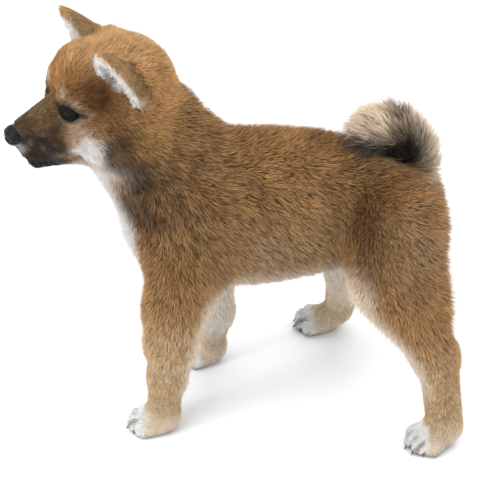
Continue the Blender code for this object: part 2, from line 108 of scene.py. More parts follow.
def limb_distance(p, a, b, r1, r2):
    ba = b - a
    l2 = ba @ ba
    rr = r1 - r2
    a2 = l2 - rr * rr
    il2 = 1.0 / l2
    pa = p - a
    y = pa @ ba
    z = y - l2
    x2 = ((pa * l2 - y[..., None] * ba) ** 2).sum(-1)
    y2 = y * y * l2
    z2 = z * z * l2
    k = np.sign(rr) * rr * rr * x2
    d = (np.sqrt(np.maximum(x2 * a2 * il2, 0)) + y * rr) * il2 - r1
    d = np.where(np.sign(y) * a2 * y2 < k, np.sqrt(x2 + y2) * il2 - r1, d)
    return np.where(np.sign(z) * a2 * z2 > k, np.sqrt(x2 + z2) * il2 - r2, d)


def blend(a, b, k):
    h = np.maximum(k - np.abs(a - b), 0) / k
    return np.minimum(a, b) - h * h * k * 0.25


def carve(a, b, k):
    """a less b"""
    h = np.maximum(k - np.abs(a + b), 0) / k
    return np.maximum(a, -b) + h * h * k * 0.25


TRUNK, NECK, HEAD, MUZZLE, LEG, PAW, TAIL, EAR = range(8)


def make_masses():
    """Every mass: its outline at the coat's tips, the depth of the coat over
    it, the part it belongs to and the way its coat lies."""
    m = []

    def mass(centre, radii, soft, depth, part, lie, axes=None):
        r = np.array(radii, float)
        m.append(dict(kind="mass", c=np.array(centre, float), r=r, rs=r - depth, soft=soft,
                      axes=axes, part=part, lie=unit(np.array(lie, float))))

    def limb(a, b, r1, r2, soft, depth, part, lie=None):
        a, b = np.array(a, float), np.array(b, float)
        d1, d2 = depth if isinstance(depth, tuple) else (depth, depth)
        m.append(dict(kind="limb", a=a, b=b, r1=float(r1), r2=float(r2), s1=r1 - d1, s2=r2 - d2,
                      soft=soft, part=part, lie=unit(b - a if lie is None else np.array(lie, float))))

    back = (0, 1, -0.22)
    mass((0, -8, 164.5), (43, 56, 57.5), 1, 8, TRUNK, back)
    mass((0, 42, 165.6), (40, 62, 55.5), 30, 8, TRUNK, back)
    mass((0, 98, 169), (37, 38.5, 42), 25, 8, TRUNK, (0, 0.9, -0.45))
    mass((0, -47, 157), (32, 33.5, 42), 22, 8, TRUNK, (0, 0.25, -1))
    limb((0, 106, 164), (0, 118.5, 134), 26, 22, 20, 7, TRUNK, (0, 0.5, -1))
    limb((0, -38, 180), (7, -68, 224), 42, 37, 20, 9, NECK, (0, 0.75, -0.62))
    limb((3, -54, 184), (8.5, -76, 220), 21, 14, 18, 7, NECK, (0, 0.3, -1))
    limb((0, -18, 186.5), (4, -54, 238), 26.5, 28.3, 18, 8, NECK, (0, 0.85, -0.45))
    for side in (1, -1):
        limb((side * 20, -34, 186), (8 + side * 17, -66, 226), 24, 21, 16, 8, NECK, (0, 0.7, -0.7))
        mass((side * 27, -32, 156), (20, 30, 46), 20, 7, TRUNK, (0, 0.75, -0.65))
    limb((34, -40, 140), (33, -48, 104), 24, 20, 18, (6.5, 5), LEG, (0, 0.3, -1))
    limb((33, -46.5, 106), (32, -50, 76), 20.3, 17.3, 14, (5, 4), LEG)
    limb((32, -50, 76), (31, -53, 46), 17.3, 12.2, 12, (4, 3), LEG)
    limb((31, -53, 46), (31.5, -57, 16), 12.2, 12, 12, (3, 2), PAW, (0, -0.25, -1))
    limb((-34, -26, 140), (-38, -16, 104), 24, 20, 18, (6.5, 5), LEG, (0, 0.3, -1))
    limb((-38, -16, 106), (-46, -14, 46), 19, 12.9, 14, (5, 3), LEG)
    limb((-46, -14, 46), (-49, -18, 16), 12.9, 12, 12, (3, 2), PAW, (0, -0.25, -1))
    limb((24, 102, 158), (37, 100, 124), 36, 29, 20, 7, LEG, (0, 0.55, -0.85))
    limb((20, 110, 148), (42, 119, 106), 28, 24.2, 16, 7, LEG, (0, 0.45, -0.9))
    limb((42, 108.3, 116), (56, 131.5, 70), 24, 16, 16, (6, 3.5), LEG)
    limb((57, 134.5, 68), (68, 140.5, 18), 14.3, 13, 10, (3, 2.2), PAW)
    limb((-24, 98, 158), (-42, 86, 120), 36, 27, 20, 7, LEG, (0, 0.55, -0.85))
    limb((-18, 106, 146), (-40, 96, 110), 27, 21, 16, 7, LEG, (0, 0.45, -0.9))
    limb((-44, 87, 114), (-60, 86, 66), 24, 14.5, 16, (6, 3.5), LEG)
    limb((-62, 85.5, 61), (-79.5, 84.5, 18), 13.8, 11.2, 10, (3, 2.2), PAW)
    for name, (px, py), angle in PAWS:
        turn = turn_z(angle)

        def paw_point(x, y, z):
            return vec(px, py, 0) + turn @ vec(x, y, z)

        fwd = turn @ vec(0, -1, -0.25)
        heel = 12.4 if name == "hind_left" else 10.8
        limb(paw_point(0, 8, 9.8), paw_point(0, -2, 8.0), heel, 9.9, 8, 1.8, PAW, fwd)
        for tx, ty in TOE_PLACES:
            limb(paw_point(tx * 0.75, ty + 9, 7.9), paw_point(tx, ty - 1, 5.8), 6.5, TOE_RADIUS,
                 2.0, 1.5, PAW, fwd)
    ax = HEAD_AXES

    def head_mass(left, forward, up, radii, soft, depth, part):
        mass(head_point(left, forward, up), radii, soft, depth, part, (0, 1, 0), ax)

    def head_limb(a, b, r1, r2, soft, depth, part):
        limb(head_point(*a), head_point(*b), r1, r2, soft, depth, part)

    head_mass(0, -6.5, 7, (40, 38.5, 37.5), 14, 5, HEAD)
    head_mass(0, 16, 17, (30, 21.5, 24.5), 10, 3.6, HEAD)
    for s in (1, -1):
        head_mass(s * 24, 2, -14, (20, 28, 25), 14, 6, HEAD)
        head_mass(s * 14, 28, 12, (11.5, 9, 10), 8, 2.2, HEAD)
        head_mass(s * 27, -9, 24, (12, 13, 15), 9, 4.5, HEAD)
        head_limb((s * 9, 38, -21), (s * 5.5, 56, -21), 11, 8.5, 6, 1.8, MUZZLE)
        head_limb((s * 24, 22, -8), (s * 15, 38, -13), 13, 9.5, 10, (3, 2), MUZZLE)
    head_mass(0, 9.5, -27.5, (23.5, 29, 14.7), 12, 4.5, HEAD)
    head_limb((0, 36, -1.6), (0, 62, -11.6), 12.4, 8.4, 8, (1.8, 1.2), MUZZLE)
    head_limb((0, 24, -31), (0, 51, -32.2), 10, 7.2, 6, (3, 1.6), MUZZLE)
    head_mass(0, 65.5, -13, (8, 7, 7), 3, 1.4, MUZZLE)
    for i in range(5):
        limb(TAIL_LINE[i], TAIL_LINE[i + 1], TAIL_RADII[i], TAIL_RADII[i + 1], 8,
             (8.5, 9.5) if i else (7, 8.5), TAIL)
    return m


MASSES = make_masses()

# ears: each a deep cup whose opening faces forwards and outwards
EAR_LEAVES = {}
for s in (1, -1):
    base, tip = vec(*EAR_BASE), vec(*EAR_TIP)
    up = unit(tip - base)
    e1 = unit(vec(1, 0, 0) - up[0] * up)
    e2 = vec(0, 1, 0) - up[1] * up
    e2 = unit(e2 - (e2 @ e1) * e1)
    turned = np.radians(EAR_TURN)
    across = np.cos(turned) * e1 - np.sin(turned) * e2
    opening = np.cos(turned) * e2 + np.sin(turned) * e1
    mirror = vec(s, 1, 1)
    EAR_LEAVES[s] = (head_point(*(base * mirror)), HEAD_AXES @ (across * mirror),
                     HEAD_AXES @ (up * mirror), HEAD_AXES @ (-opening * mirror),
                     float(np.linalg.norm(tip - base)))
SWEEP = np.radians(EAR_SWEEP)


def ear_section(t):
    t = np.clip(t, 0.0, 1.0)
    half = EAR_HALF_WIDTH * (1.0 - t) ** 0.62 + 0.6
    deep = EAR_DEPTH * (1.0 - t ** 1.6) ** 0.9 + 0.6
    return half / np.sin(SWEEP), deep / (1.0 - np.cos(SWEEP))


def ear_coords(p, s):
    """t up the ear, u round its cup (-1 inner rim, 1 outer rim), distance from
    the cup's middle surface and its side: 1 on the back, -1 in the opening."""
    mid, across, upward, back, height = EAR_LEAVES[s]
    q = p - mid
    x, y, z = q @ across, q @ back, q @ upward
    t = z / height
    ea, eb = ear_section(t)
    best = np.full(len(p), 1e9)
    u = np.zeros(len(p))
    steps = np.linspace(-1.0, 1.0, 23)
    fs = SWEEP * steps
    X = ea[:, None] * np.sin(fs)
    Y = eb[:, None] * (np.cos(fs) - np.cos(SWEEP))
    for k in range(22):
        dx, dy = X[:, k + 1] - X[:, k], Y[:, k + 1] - Y[:, k]
        w = np.clip(((x - X[:, k]) * dx + (y - Y[:, k]) * dy) / np.maximum(dx * dx + dy * dy, 1e-9), 0, 1)
        d2 = (x - X[:, k] - w * dx) ** 2 + (y - Y[:, k] - w * dy) ** 2
        closer = d2 < best
        best = np.where(closer, d2, best)
        u = np.where(closer, steps[k] + w * (steps[k + 1] - steps[k]), u)
    f = SWEEP * u
    nx, ny = np.sin(f) / ea, np.cos(f) / eb
    out = (x - ea * np.sin(f)) * nx + (y - eb * (np.cos(f) - np.cos(SWEEP))) * ny
    return x, y, z, t, u, np.sqrt(best), np.sign(out)


def ear_distance(p, s, outer, inner):
    x, y, z, t, u, dist, face = ear_coords(p, s)
    height = EAR_LEAVES[s][4]
    ea, eb = ear_section(t)
    thick = np.where(face > 0, outer, np.minimum(inner, 0.62 * np.minimum(ea, eb)))
    thick = thick * (1.0 - 0.35 * np.clip(t, 0, 1))
    over = np.maximum(z - height * 0.98, 0) + np.maximum(-(z + 0.30 * height), 0)
    return (np.sqrt(dist ** 2 + over ** 2) - thick) * 0.85


def form(p, level, want=None):
    """Signed distance (mm) to the skin (level "skin") or to the outline of
    the coat (level "coat"); want collects each mass's own distance."""
    d = None
    for m in MASSES:
        if m["kind"] == "mass":
            di = ellipsoid_distance(p, m["c"], m["rs"] if level == "skin" else m["r"], m["axes"])
        elif level == "skin":
            di = limb_distance(p, m["a"], m["b"], m["s1"], m["s2"])
        else:
            di = limb_distance(p, m["a"], m["b"], m["r1"], m["r2"])
        if want is not None:
            want.append(di)
        d = di if d is None else blend(d, di, m["soft"])
    for s in (1, -1):
        mid, across, upward, back, height = EAR_LEAVES[s]
        near = np.linalg.norm(p - mid - upward * 18, axis=-1) < 42
        if near.any():
            q = p[near]
            e = ear_distance(q, s, 1.2, 1.0) if level == "skin" else ear_distance(q, s, 2.3, 1.7)
            d[near] = blend(d[near], e, 2.5)
            if level == "skin":
                # the hollow that leads down into the ear
                r = q - (mid + upward * 5.0 + back * 6.5 + across * 1.0)
                pit = np.sqrt((r @ across / 7.0) ** 2 + (r @ back / 6.0) ** 2 + (r @ upward / 13.0) ** 2)
                d[near] = carve(d[near], (pit - 1.0) * 6.0, 2.0)
    if level == "skin":
        d = face_form(p, d)
    return d


# eyes: gaze, the line between the corners, and up
EYES = {}
for s in (1, -1):
    gaze = unit(head_dir(s * 0.66, 0.74, 0.08))
    corner = unit(head_dir(s * 0.74, -0.66, -0.10))
    corner = unit(corner - gaze * (corner @ gaze))
    lid_up = np.cross(gaze, corner) * s
    if lid_up[2] < 0:
        lid_up = -lid_up
    EYES[s] = (head_point(s * EYE_AT[0], EYE_AT[1], EYE_AT[2]), corner, lid_up, gaze)

LID_HALF, LID_TOP, LID_LOW = 8.2, 4.3, 3.7


def lid_gap(p, s):
    """Below zero inside the opening between the lids, in mm; and the depth
    along the gaze."""
    c, corner, up, gaze = EYES[s]
    q = p - c
    h, v, n = q @ corner, q @ up, q @ gaze
    hh = (h - 0.2) / LID_HALF
    peak = np.where(v > 0, LID_TOP * (1 - 0.16 * hh), LID_LOW * (1 + 0.14 * hh))
    return (np.abs(v) - peak * (1 - np.clip(hh * hh, 0, 1.6))) * 0.82, n, h, v


MOUTH = [head_point(*q) for q in ((0, 63.5, -21.5), (6, 61.5, -25.5), (10.5, 54, -29), (14, 44, -31.0),
                                  (17.5, 33, -29.5))]
MOUTH_R = [head_point(-q[0], q[1], q[2]) for q in ((0, 63.5, -21.5), (6, 61.5, -25.5), (10.5, 54, -29),
                                                   (14, 44, -31.0), (17.5, 33, -29.5))]


def line_distance(p, pts):
    d = None
    for a, b in zip(pts[:-1], pts[1:]):
        ba = b - a
        t = np.clip(((p - a) @ ba) / (ba @ ba), 0, 1)
        di = np.linalg.norm(p - a - t[..., None] * ba, axis=-1)
        d = di if d is None else np.minimum(d, di)
    return d


def face_form(p, d):
    near = np.linalg.norm(p - head_point(0, 36, -6), axis=-1) < 46
    if not near.any():
        return d
    q = p[near]
    e = d[near]
    for s in (1, -1):
        c = EYES[s][0]
        ball = np.linalg.norm(q - c, axis=-1)
        e = blend(e, ball - EYE_RADIUS - 1.25, 3.5)          # lids over the eye
        gap, n, h, v = lid_gap(q, s)
        cut = np.maximum(gap, -(n - 1.0))
        cut = np.maximum(cut, ball - 17.0)
        e = carve(e, cut, 0.8)
    for line in (MOUTH, MOUTH_R):
        e = carve(e, line_distance(q, line) - 0.55, 1.8)
    d = d.copy()
    d[near] = e
    return d


def slopes(p, level, h=0.35):
    corners = np.array([[1, -1, -1], [-1, -1, 1], [-1, 1, -1], [1, 1, 1]], float)
    g = sum(c * form(p + c * h, level)[:, None] for c in corners)
    return unit(g)


# ------------------------------------------------------------------ small tools
def add_object(name, mesh, collection=None):
    o = bpy.data.objects.new(name, mesh)
    (collection or bpy.context.scene.collection).objects.link(o)
    return o


def mesh_from_arrays(name, verts_mm, tris, smooth=True):
    me = bpy.data.meshes.new(name)
    n, f = len(verts_mm), len(tris)
    me.vertices.add(n)
    me.vertices.foreach_set("co", ((verts_mm + SHIFT) * MM).astype(np.float32).ravel())
    me.loops.add(f * 3)
    me.loops.foreach_set("vertex_index", tris.astype(np.int32).ravel())
    me.polygons.add(f)
    me.polygons.foreach_set("loop_start", np.arange(0, f * 3, 3, dtype=np.int32))
    me.polygons.foreach_set("loop_total", np.full(f, 3, np.int32))
    me.update(calc_edges=True)
    me.validate()
    if smooth:
        me.shade_smooth()
    return me


def paint(me, name, rgb):
    a = me.color_attributes.new(name, "FLOAT_COLOR", "POINT")
    rgba = np.ones((len(rgb), 4), np.float32)
    rgba[:, :3] = rgb
    a.data.foreach_set("color", rgba.ravel())


def lin(r, g, b):
    c = np.array([r, g, b], float) / 255.0
    return np.where(c <= 0.04045, c / 12.92, ((c + 0.055) / 1.055) ** 2.4)


def step(a, b, x):
    t = np.clip((x - a) / (b - a), 0, 1)
    return t * t * (3 - 2 * t)


def mix(c, d, t):
    t = np.asarray(t)[..., None]
    return c * (1 - t) + d * t


def wave_noise(p, scale, seed, octaves=3):
    """Smooth noise, about -1 to 1, from sums of waves in turned directions."""
    r = np.random.default_rng(seed)
    out = np.zeros(len(p))
    amp, total = 1.0, 0.0
    for o in range(octaves):
        for _ in range(5):
            k = unit(r.normal(size=3)) * (2 * np.pi / scale) * (0.7 + 0.6 * r.random())
            out += amp * np.sin(p @ k + r.random() * 6.283 + 1.3 * np.sin(p @ k[[1, 2, 0]] * 0.6))
        total += amp * 2.4
        amp *= 0.55
        scale *= 0.5
    return np.clip(out / total, -1.2, 1.2)


# -------------------------------------------------------------------- the skin
def build_skin(voxel_mm):
    whole = bmesh.new()

    def add(make, place):
        bm = bmesh.new()
        make(bm)
        for v in bm.verts:
            v.co = Vector(place(np.array(v.co[:])) * MM)
        me = bpy.data.meshes.new("shape")
        bm.to_mesh(me)
        bm.free()
        whole.from_mesh(me)
        bpy.data.meshes.remove(me)

    for m in MASSES:
        if m["kind"] == "mass":
            rot = np.eye(3) if m["axes"] is None else m["axes"]
            add(lambda bm: bmesh.ops.create_uvsphere(bm, u_segments=32, v_segments=20, radius=1.0),
                lambda q, m=m, rot=rot: rot @ (q * m["rs"]) + m["c"])
        else:
            a, b, r1, r2 = m["a"], m["b"], m["s1"], m["s2"]
            for c, r in ((a, r1), (b, r2)):
                add(lambda bm: bmesh.ops.create_uvsphere(bm, u_segments=24, v_segments=16, radius=1.0),
                    lambda q, c=c, r=r: q * r + c)
            length = np.linalg.norm(b - a)
            spin = np.array(Vector(b - a).to_track_quat("Z", "Y").to_matrix())
            add(lambda bm: bmesh.ops.create_cone(bm, cap_ends=True, segments=24, radius1=r1,
                                                 radius2=r2, depth=length),
                lambda q: spin @ q + (a + b) / 2)
    for s in (1, -1):
        c = EYES[s][0]
        add(lambda bm: bmesh.ops.create_uvsphere(bm, u_segments=24, v_segments=16, radius=1.0),
            lambda q, c=c: q * (EYE_RADIUS + 1.2) + c)
        # the cup of the ear as a closed shell
        mid, across, upward, back, height = EAR_LEAVES[s]
        bm = bmesh.new()
        rows, cols = 30, 27
        grid = {}
        for face in (1, -1):
            for j in range(rows):
                t = -0.28 + 1.26 * j / (rows - 1)
                ea, eb = ear_section(t)
                for i in range(cols):
                    f = SWEEP * (-1.0 + 2.0 * i / (cols - 1))
                    n = unit(vec(np.sin(f) / ea, np.cos(f) / eb))
                    thick = 1.3 if face > 0 else min(1.2, 0.6 * min(ea, eb))
                    x = ea * np.sin(f) + face * thick * n[0]
                    y = eb * (np.cos(f) - np.cos(SWEEP)) + face * thick * n[1]
                    grid[face, j, i] = bm.verts.new(Vector(
                        (mid + across * x + back * y + upward * (t * height)) * MM))
        for face in (1, -1):
            for j in range(rows - 1):
                for i in range(cols - 1):
                    bm.faces.new([grid[face, j, i], grid[face, j, i + 1], grid[face, j + 1, i + 1],
                                  grid[face, j + 1, i]])
        for j in range(rows - 1):
            for i in (0, cols - 1):
                bm.faces.new([grid[1, j, i], grid[1, j + 1, i], grid[-1, j + 1, i], grid[-1, j, i]])
        for i in range(cols - 1):
            for j in (0, rows - 1):
                bm.faces.new([grid[1, j, i], grid[1, j, i + 1], grid[-1, j, i + 1], grid[-1, j, i]])
        bmesh.ops.recalc_face_normals(bm, faces=bm.faces)
        me = bpy.data.meshes.new("leaf")
        bm.to_mesh(me)
        bm.free()
        whole.from_mesh(me)
        bpy.data.meshes.remove(me)
    me = bpy.data.meshes.new("rough_skin")
    whole.to_mesh(me)
    whole.free()
    o = add_object("rough_skin", me)
    r = o.modifiers.new("fuse", "REMESH")
    r.mode = "VOXEL"
    r.voxel_size = voxel_mm * MM
    dg = bpy.context.evaluated_depsgraph_get()
    fused = bpy.data.meshes.new_from_object(o.evaluated_get(dg))
    bpy.data.objects.remove(o)
    bm = bmesh.new()
    bm.from_mesh(fused)
    bmesh.ops.triangulate(bm, faces=bm.faces)
    bm.to_mesh(fused)
    bm.free()
    n = len(fused.vertices)
    co = np.empty(n * 3, np.float32)
    fused.vertices.foreach_get("co", co)
    pts = co.reshape(-1, 3).astype(float) / MM
    tris = np.empty(len(fused.polygons) * 3, np.int32)
    fused.polygons.foreach_get("vertices", tris)
    tris = tris.reshape(-1, 3)
    edges = np.empty(len(fused.edges) * 2, np.int32)
    fused.edges.foreach_get("vertices", edges)
    edges = edges.reshape(-1, 2)
    deg = np.bincount(edges.ravel(), minlength=n).astype(float)
    for rounds in (4, 1, 2):
        for k in range(rounds):
            g = slopes(pts, "skin")
            pts = pts - g * np.clip(form(pts, "skin"), -2.5, 2.5)[:, None] * 0.9
        if rounds != 2:
            acc = np.zeros_like(pts)
            for ax_ in range(3):
                acc[:, ax_] = (np.bincount(edges[:, 0], pts[edges[:, 1], ax_], n)
                               + np.bincount(edges[:, 1], pts[edges[:, 0], ax_], n))
            pts = pts * 0.5 + 0.5 * acc / np.maximum(deg, 1)[:, None]
    pts[:, 2] = np.maximum(pts[:, 2], 0.0)
    # the soles are flat where they bear on the ground
    return pts, tris


VOXEL = 1.6
skin_pts, skin_tris = build_skin(VOXEL)
skin_nrm = slopes(skin_pts, "skin")
print("skin", len(skin_pts), len(skin_tris))


# ---------------------------------------------------------------- parts and lie
def part_weights(p):
    """How far each point belongs to each part, and the lie of the coat."""
    want = []
    form(p, "skin", want)
    D = np.stack(want, 1)
    D -= D.min(1, keepdims=True)
    W = np.exp(-D / 4.5)
    W /= W.sum(1, keepdims=True)
    parts = np.zeros((len(p), 8))
    lie = np.zeros((len(p), 3))
    for i, m in enumerate(MASSES):
        parts[:, m["part"]] += W[:, i]
        lie += W[:, i:i + 1] * m["lie"]
    ears = np.zeros(len(p))
    for s in (1, -1):
        mid, across, upward, back, height = EAR_LEAVES[s]
        near = np.linalg.norm(p - mid - upward * 18, axis=-1) < 42
        if not near.any():
            continue
        x, y, z, t, u, dist, face = ear_coords(p[near], s)
        w = step(3.6, 2.4, dist) * step(-0.25, -0.05, t)
        inside = step(0.0, 2.0, y) * (face < 0) * step(-0.2, 0.0, t) * (dist < 9)
        out = skull_gap(p[near])
        w = np.maximum(w * step(0.5, 3.0, out), inside)
        ears[near] = np.maximum(ears[near], w)
    parts *= (1 - ears)[:, None]
    parts[:, EAR] = ears
    return parts, lie


def skull_gap(p):
    """Height above the head without its ears."""
    d = None
    for m in MASSES:
        if m["part"] not in (HEAD, MUZZLE):
            continue
        if m["kind"] == "mass":
            di = ellipsoid_distance(p, m["c"], m["rs"], m["axes"])
        else:
            di = limb_distance(p, m["a"], m["b"], m["s1"], m["s2"])
        d = di if d is None else blend(d, di, m["soft"])
    return d


def lie_of_coat(p, n, parts, lie):
    q = (p - HC) @ HEAD_AXES
    # on the head the coat streams back from the nose, and down over the cheeks
    src = vec(0, 74, -6)
    stream = unit(q - src)
    stream[:, 2] += -0.35 * step(10, 34, np.abs(q[:, 0])) * step(30, 5, q[:, 1])
    stream = stream @ HEAD_AXES.T
    hw = (parts[:, HEAD] + parts[:, MUZZLE])[:, None]
    lie = lie * (1 - hw) + unit(stream) * hw
    for s in (1, -1):
        x, y, z, t, u, dist, face = ear_coords(p, s)
        mid, across, upward, back, height = EAR_LEAVES[s]
        side = np.sign((p - HC) @ HEAD_AXES[:, 0]) == s
        w = (parts[:, EAR] * side)[:, None]
        inner = (face < 0)[:, None]
        spread = unit(upward + across * np.clip(u, -1, 1)[:, None] * 0.35 - back * np.where(inner, 0.8, 0.25))
        lie = lie * (1 - w) + spread * w
    # the hair of the tail spreads away from the fold of its curl
    spread = unit(p - vec(4, 106, 201))
    lie = lie + spread * (parts[:, TAIL] * 0.9)[:, None]
    # sides of the trunk: the coat falls a little; the chest front falls most
    fall = parts[:, TRUNK] * step(0.2, 0.9, np.abs(n[:, 0])) * 0.30
    lie = lie + np.outer(fall, [0, 0, -1.0])
    wander = np.stack([wave_noise(p, 34, 31, 2), wave_noise(p, 34, 32, 2), wave_noise(p, 34, 33, 2)], 1)
    lie = lie + wander * 0.22
    t = lie - n * (lie * n).sum(1, keepdims=True)
    return unit(t)


# -------------------------------------------------------------------- markings
TAN = lin(176, 132, 80)
TAN_DEEP = lin(136, 95, 53)
SABLE = lin(84, 60, 38)
DUSK = lin(104, 68, 34)
ORANGE = lin(204, 156, 100)
PALE = lin(214, 186, 146)
CROWN = lin(204, 154, 95)
CREAM = lin(238, 222, 202)
WHITE = lin(250, 248, 246)
GREYFAWN = lin(182, 162, 136)
SOOT = lin(34, 30, 29)
MASK = lin(62, 48, 42)
MASKBROWN = lin(124, 94, 66)
EARBACK = lin(160, 130, 92)
BLACK = lin(12, 11, 12)
PINK = lin(188, 160, 152)


def spot(q, centre, radii):
    return np.exp(-((((q - np.array(centre, float)) / np.array(radii, float)) ** 2).sum(1)))


def markings(p, n, parts):
    """The coat's colour (linear) at each point of the skin."""
    x, y, z = p[:, 0], p[:, 1], p[:, 2]
    q = (p - HC) @ HEAD_AXES
    nq = n @ HEAD_AXES
    side = np.abs(q[:, 0])
    low = wave_noise(p, 46, 3, 3)
    mid = wave_noise(p, 17, 5, 2)
    fine = wave_noise(p * vec(1, 0.8, 1.6), 8.0, 15, 2)
    c = np.repeat(TAN[None], len(p), 0)
    # trunk: deeper along the back, paler on the ribs, a deep band before the thigh
    c = mix(c, TAN_DEEP, np.clip(0.35 * low + 0.18 + 0.25 * mid, 0, 0.7))
    ribs = np.exp(-((y - 22) / 40.0) ** 2 - ((z - 150) / 26.0) ** 2)
    c = mix(c, GREYFAWN, 0.42 * ribs * (0.8 + 0.4 * mid))
    band = np.exp(-((y - 82) / 14.0) ** 2 - ((z - 174) / 32.0) ** 2)
    c = mix(c, DUSK, 0.85 * band)
    topline = step(0.55, 0.95, n[:, 2]) * parts[:, TRUNK]
    c = mix(c, TAN_DEEP, 0.22 * topline)
    shoulder = np.exp(-((y + 46) / 24.0) ** 2 - ((z - 192) / 34.0) ** 2)
    c = mix(c, SABLE, 0.46 * shoulder * (0.8 + 0.5 * mid))
    grizzle = 0.6 * shoulder
    rump = step(112, 140, y) * step(60, 110, z)
    c = mix(c, ORANGE, 0.30 * rump)
    thigh = np.exp(-((y - 112) / 20.0) ** 2 - ((z - 152) / 34.0) ** 2) * step(20, 45, np.abs(x))
    c = mix(c, GREYFAWN, 0.30 * thigh)
    # legs: tan outside and paler downwards, cream inside and along the edges,
    # white on the front toes
    legw = parts[:, LEG] + parts[:, PAW]
    outer = np.sign(np.where(parts[:, TAIL] > 0.5, 1, x))
    inward = -n[:, 0] * outer
    c = mix(c, ORANGE, 0.40 * legw * step(150, 90, z))
    c = mix(c, PALE, np.clip(0.92 * step(132, 70, z) * (0.92 + 0.25 * mid), 0, 0.95) * legw * (y < 30)
            + np.clip(0.74 * step(112, 48, z) * (0.9 + 0.3 * mid), 0, 0.9) * legw * (y >= 30))
    c = mix(c, CREAM, legw * step(0.05, 0.50, inward) * step(165, 125, z))
    c = mix(c, WHITE * 0.95, 0.45 * legw * step(0.15, 0.60, inward) * step(150, 115, z) * (y < 30))
    c = mix(c, CREAM, 0.85 * legw * step(0.35, 0.80, -n[:, 1]) * step(30, 60, z) * step(150, 120, z) * (y > 40))
    c = mix(c, CREAM, 0.85 * legw * step(0.45, 0.85, n[:, 1]) * step(30, 50, z) * step(135, 115, z) * (y < 30))
    c = mix(c, PALE, 0.85 * legw * step(44, 20, z + 3 * mid))
    c = mix(c, CREAM, 0.90 * legw * step(28, 9, z + 3 * mid))
    for name, (px, py), angle in PAWS:
        local = (p - vec(px, py, 0)) @ turn_z(angle)
        lateral = local[:, 0] * (1 if px > 0 else -1)
        at = legw * (np.hypot(local[:, 0], local[:, 1]) < 26) * step(36, 28, z)
        slant = 0.25 if name.startswith("fore") else 0.7
        toes = at * step(2, -5, local[:, 1] + slant * np.maximum(lateral - 2.0, 0) + 1.5 * mid) * step(24, 15, z)
        c = mix(c, WHITE, np.clip(1.3 * toes, 0, 1))
        # painted shade: dark lines in the gaps between the toes
        for g in (-6.6, 0.1, 6.8):
            c = mix(c, SABLE * 0.7, 0.75 * at * np.exp(-((local[:, 0] - g) / 0.95) ** 2) * step(-3, -8, local[:, 1])
                    * step(14, 10, z))
    # underside and the front of the chest
    belly = step(-0.15, -0.75, n[:, 2]) * step(150, 125, z) * (parts[:, TRUNK] + parts[:, LEG])
    c = mix(c, CREAM * 0.9, 0.85 * belly)
    flank = np.exp(-((z - 122) / 9.0) ** 2) * parts[:, TRUNK] * step(-20, 10, y)
    c = mix(c, GREYFAWN * 0.75, 0.45 * flank)
    middle = 1 + 0.27 * np.clip(z - 190, 0, 60)
    front = step(0.20, 0.65, -n[:, 1]) * step(-52, -64, y) * step(88, 100, z) * step(240, 226, z) \
        * step(25, 14, np.abs(x - middle))
    c = mix(c, WHITE * 0.81, np.clip(front * 1.15, 0, 1))
    # soot at the side of the throat and chest
    soot = np.zeros(len(p))
    for s in (1, -1):
        cx = 6 + s * 27
        d = np.exp(-((x - cx) / 16.0) ** 2 - ((y + 72) / 11.0) ** 2 - ((z - 196) / 24.0) ** 2)
        soot = np.maximum(soot, d)
        d = np.exp(-((x - 6 - s * 36) / 16.0) ** 2 - ((y + 70) / 12.0) ** 2 - ((z - 212) / 24.0) ** 2)
        soot = np.maximum(soot, 0.85 * d)
    c = mix(c, SOOT * 1.8, np.clip(0.95 * soot * (0.8 + 0.5 * mid), 0, 0.85))
    grizzle = np.maximum(grizzle, soot)
    # head
    hw = parts[:, HEAD] + parts[:, MUZZLE]
    f, u = q[:, 1], q[:, 2]
    crown = step(-4, 22, u + 0.35 * -f) * hw
    c = mix(c, CROWN, 0.90 * crown)
    c = mix(c, lin(226, 190, 148), 0.34 * hw * step(25, 38, u))
    c = mix(c, ORANGE, 0.6 * hw * step(-30, -5, u) * (1 - crown))
    napeside = hw * step(-8, -26, f) * step(26, 34, side) * step(16, -6, u)
    c = mix(c, TAN, 0.4 * napeside)
    qa = np.stack([side, f, u], 1)
    brow = hw * spot(qa, (18, 31, 25), (14, 12, 13))
    c = mix(c, TAN_DEEP, 0.90 * brow * (0.9 + 0.5 * mid))
    temple = hw * spot(qa, (29, 22, 19), (10, 14, 13))
    c = mix(c, DUSK, np.clip(1.35 * temple, 0, 0.96))
    tickle = hw * spot(qa, (44, 5, -8), (15, 15, 20))
    c = mix(c, SABLE, 0.50 * tickle * (0.9 + 0.6 * mid))
    jawline = (hw + parts[:, NECK]) * np.maximum(
        np.maximum(spot(qa, (42, 15.5, -19), (12, 6.5, 12)), spot(qa, (40, 10, -31), (13, 9, 12))),
        np.maximum(0.85 * spot(qa, (40, 1, -37), (12, 10, 12)), 0.44 * spot(qa, (42, 9, -11), (12, 8, 10))))
    c = mix(c, SOOT * 2.2, np.clip(1.5 * jawline * (0.85 + 0.35 * fine), 0, 0.90))
    underear = hw * spot(qa, (40, 12, 8), (10, 10, 13))
    c = mix(c, SABLE, 0.38 * underear * (0.9 + 0.6 * fine))
    grizzle = np.maximum(grizzle, np.maximum(tickle, jawline))
    cheek = hw * step(0.12, 0.80, spot(qa, (32, 27.2, -20), (13.5, 11.6, 15.4)) * (1 + 0.35 * mid + 0.28 * fine))
    c = mix(c, WHITE, 0.94 * cheek)
    lipback = hw * spot(qa, (26, 33, -22), (9, 9, 7))
    c = mix(c, WHITE * 0.8, np.clip(0.95 * lipback * (0.8 + 0.4 * fine), 0, 0.85))
    goldback = hw * spot(qa, (40, -18, 3), (12, 12, 22))
    c = mix(c, CROWN, 0.5 * goldback)
    throatw = (hw + parts[:, NECK]) * spot(qa, (20, 18, -40), (16, 14, 13))
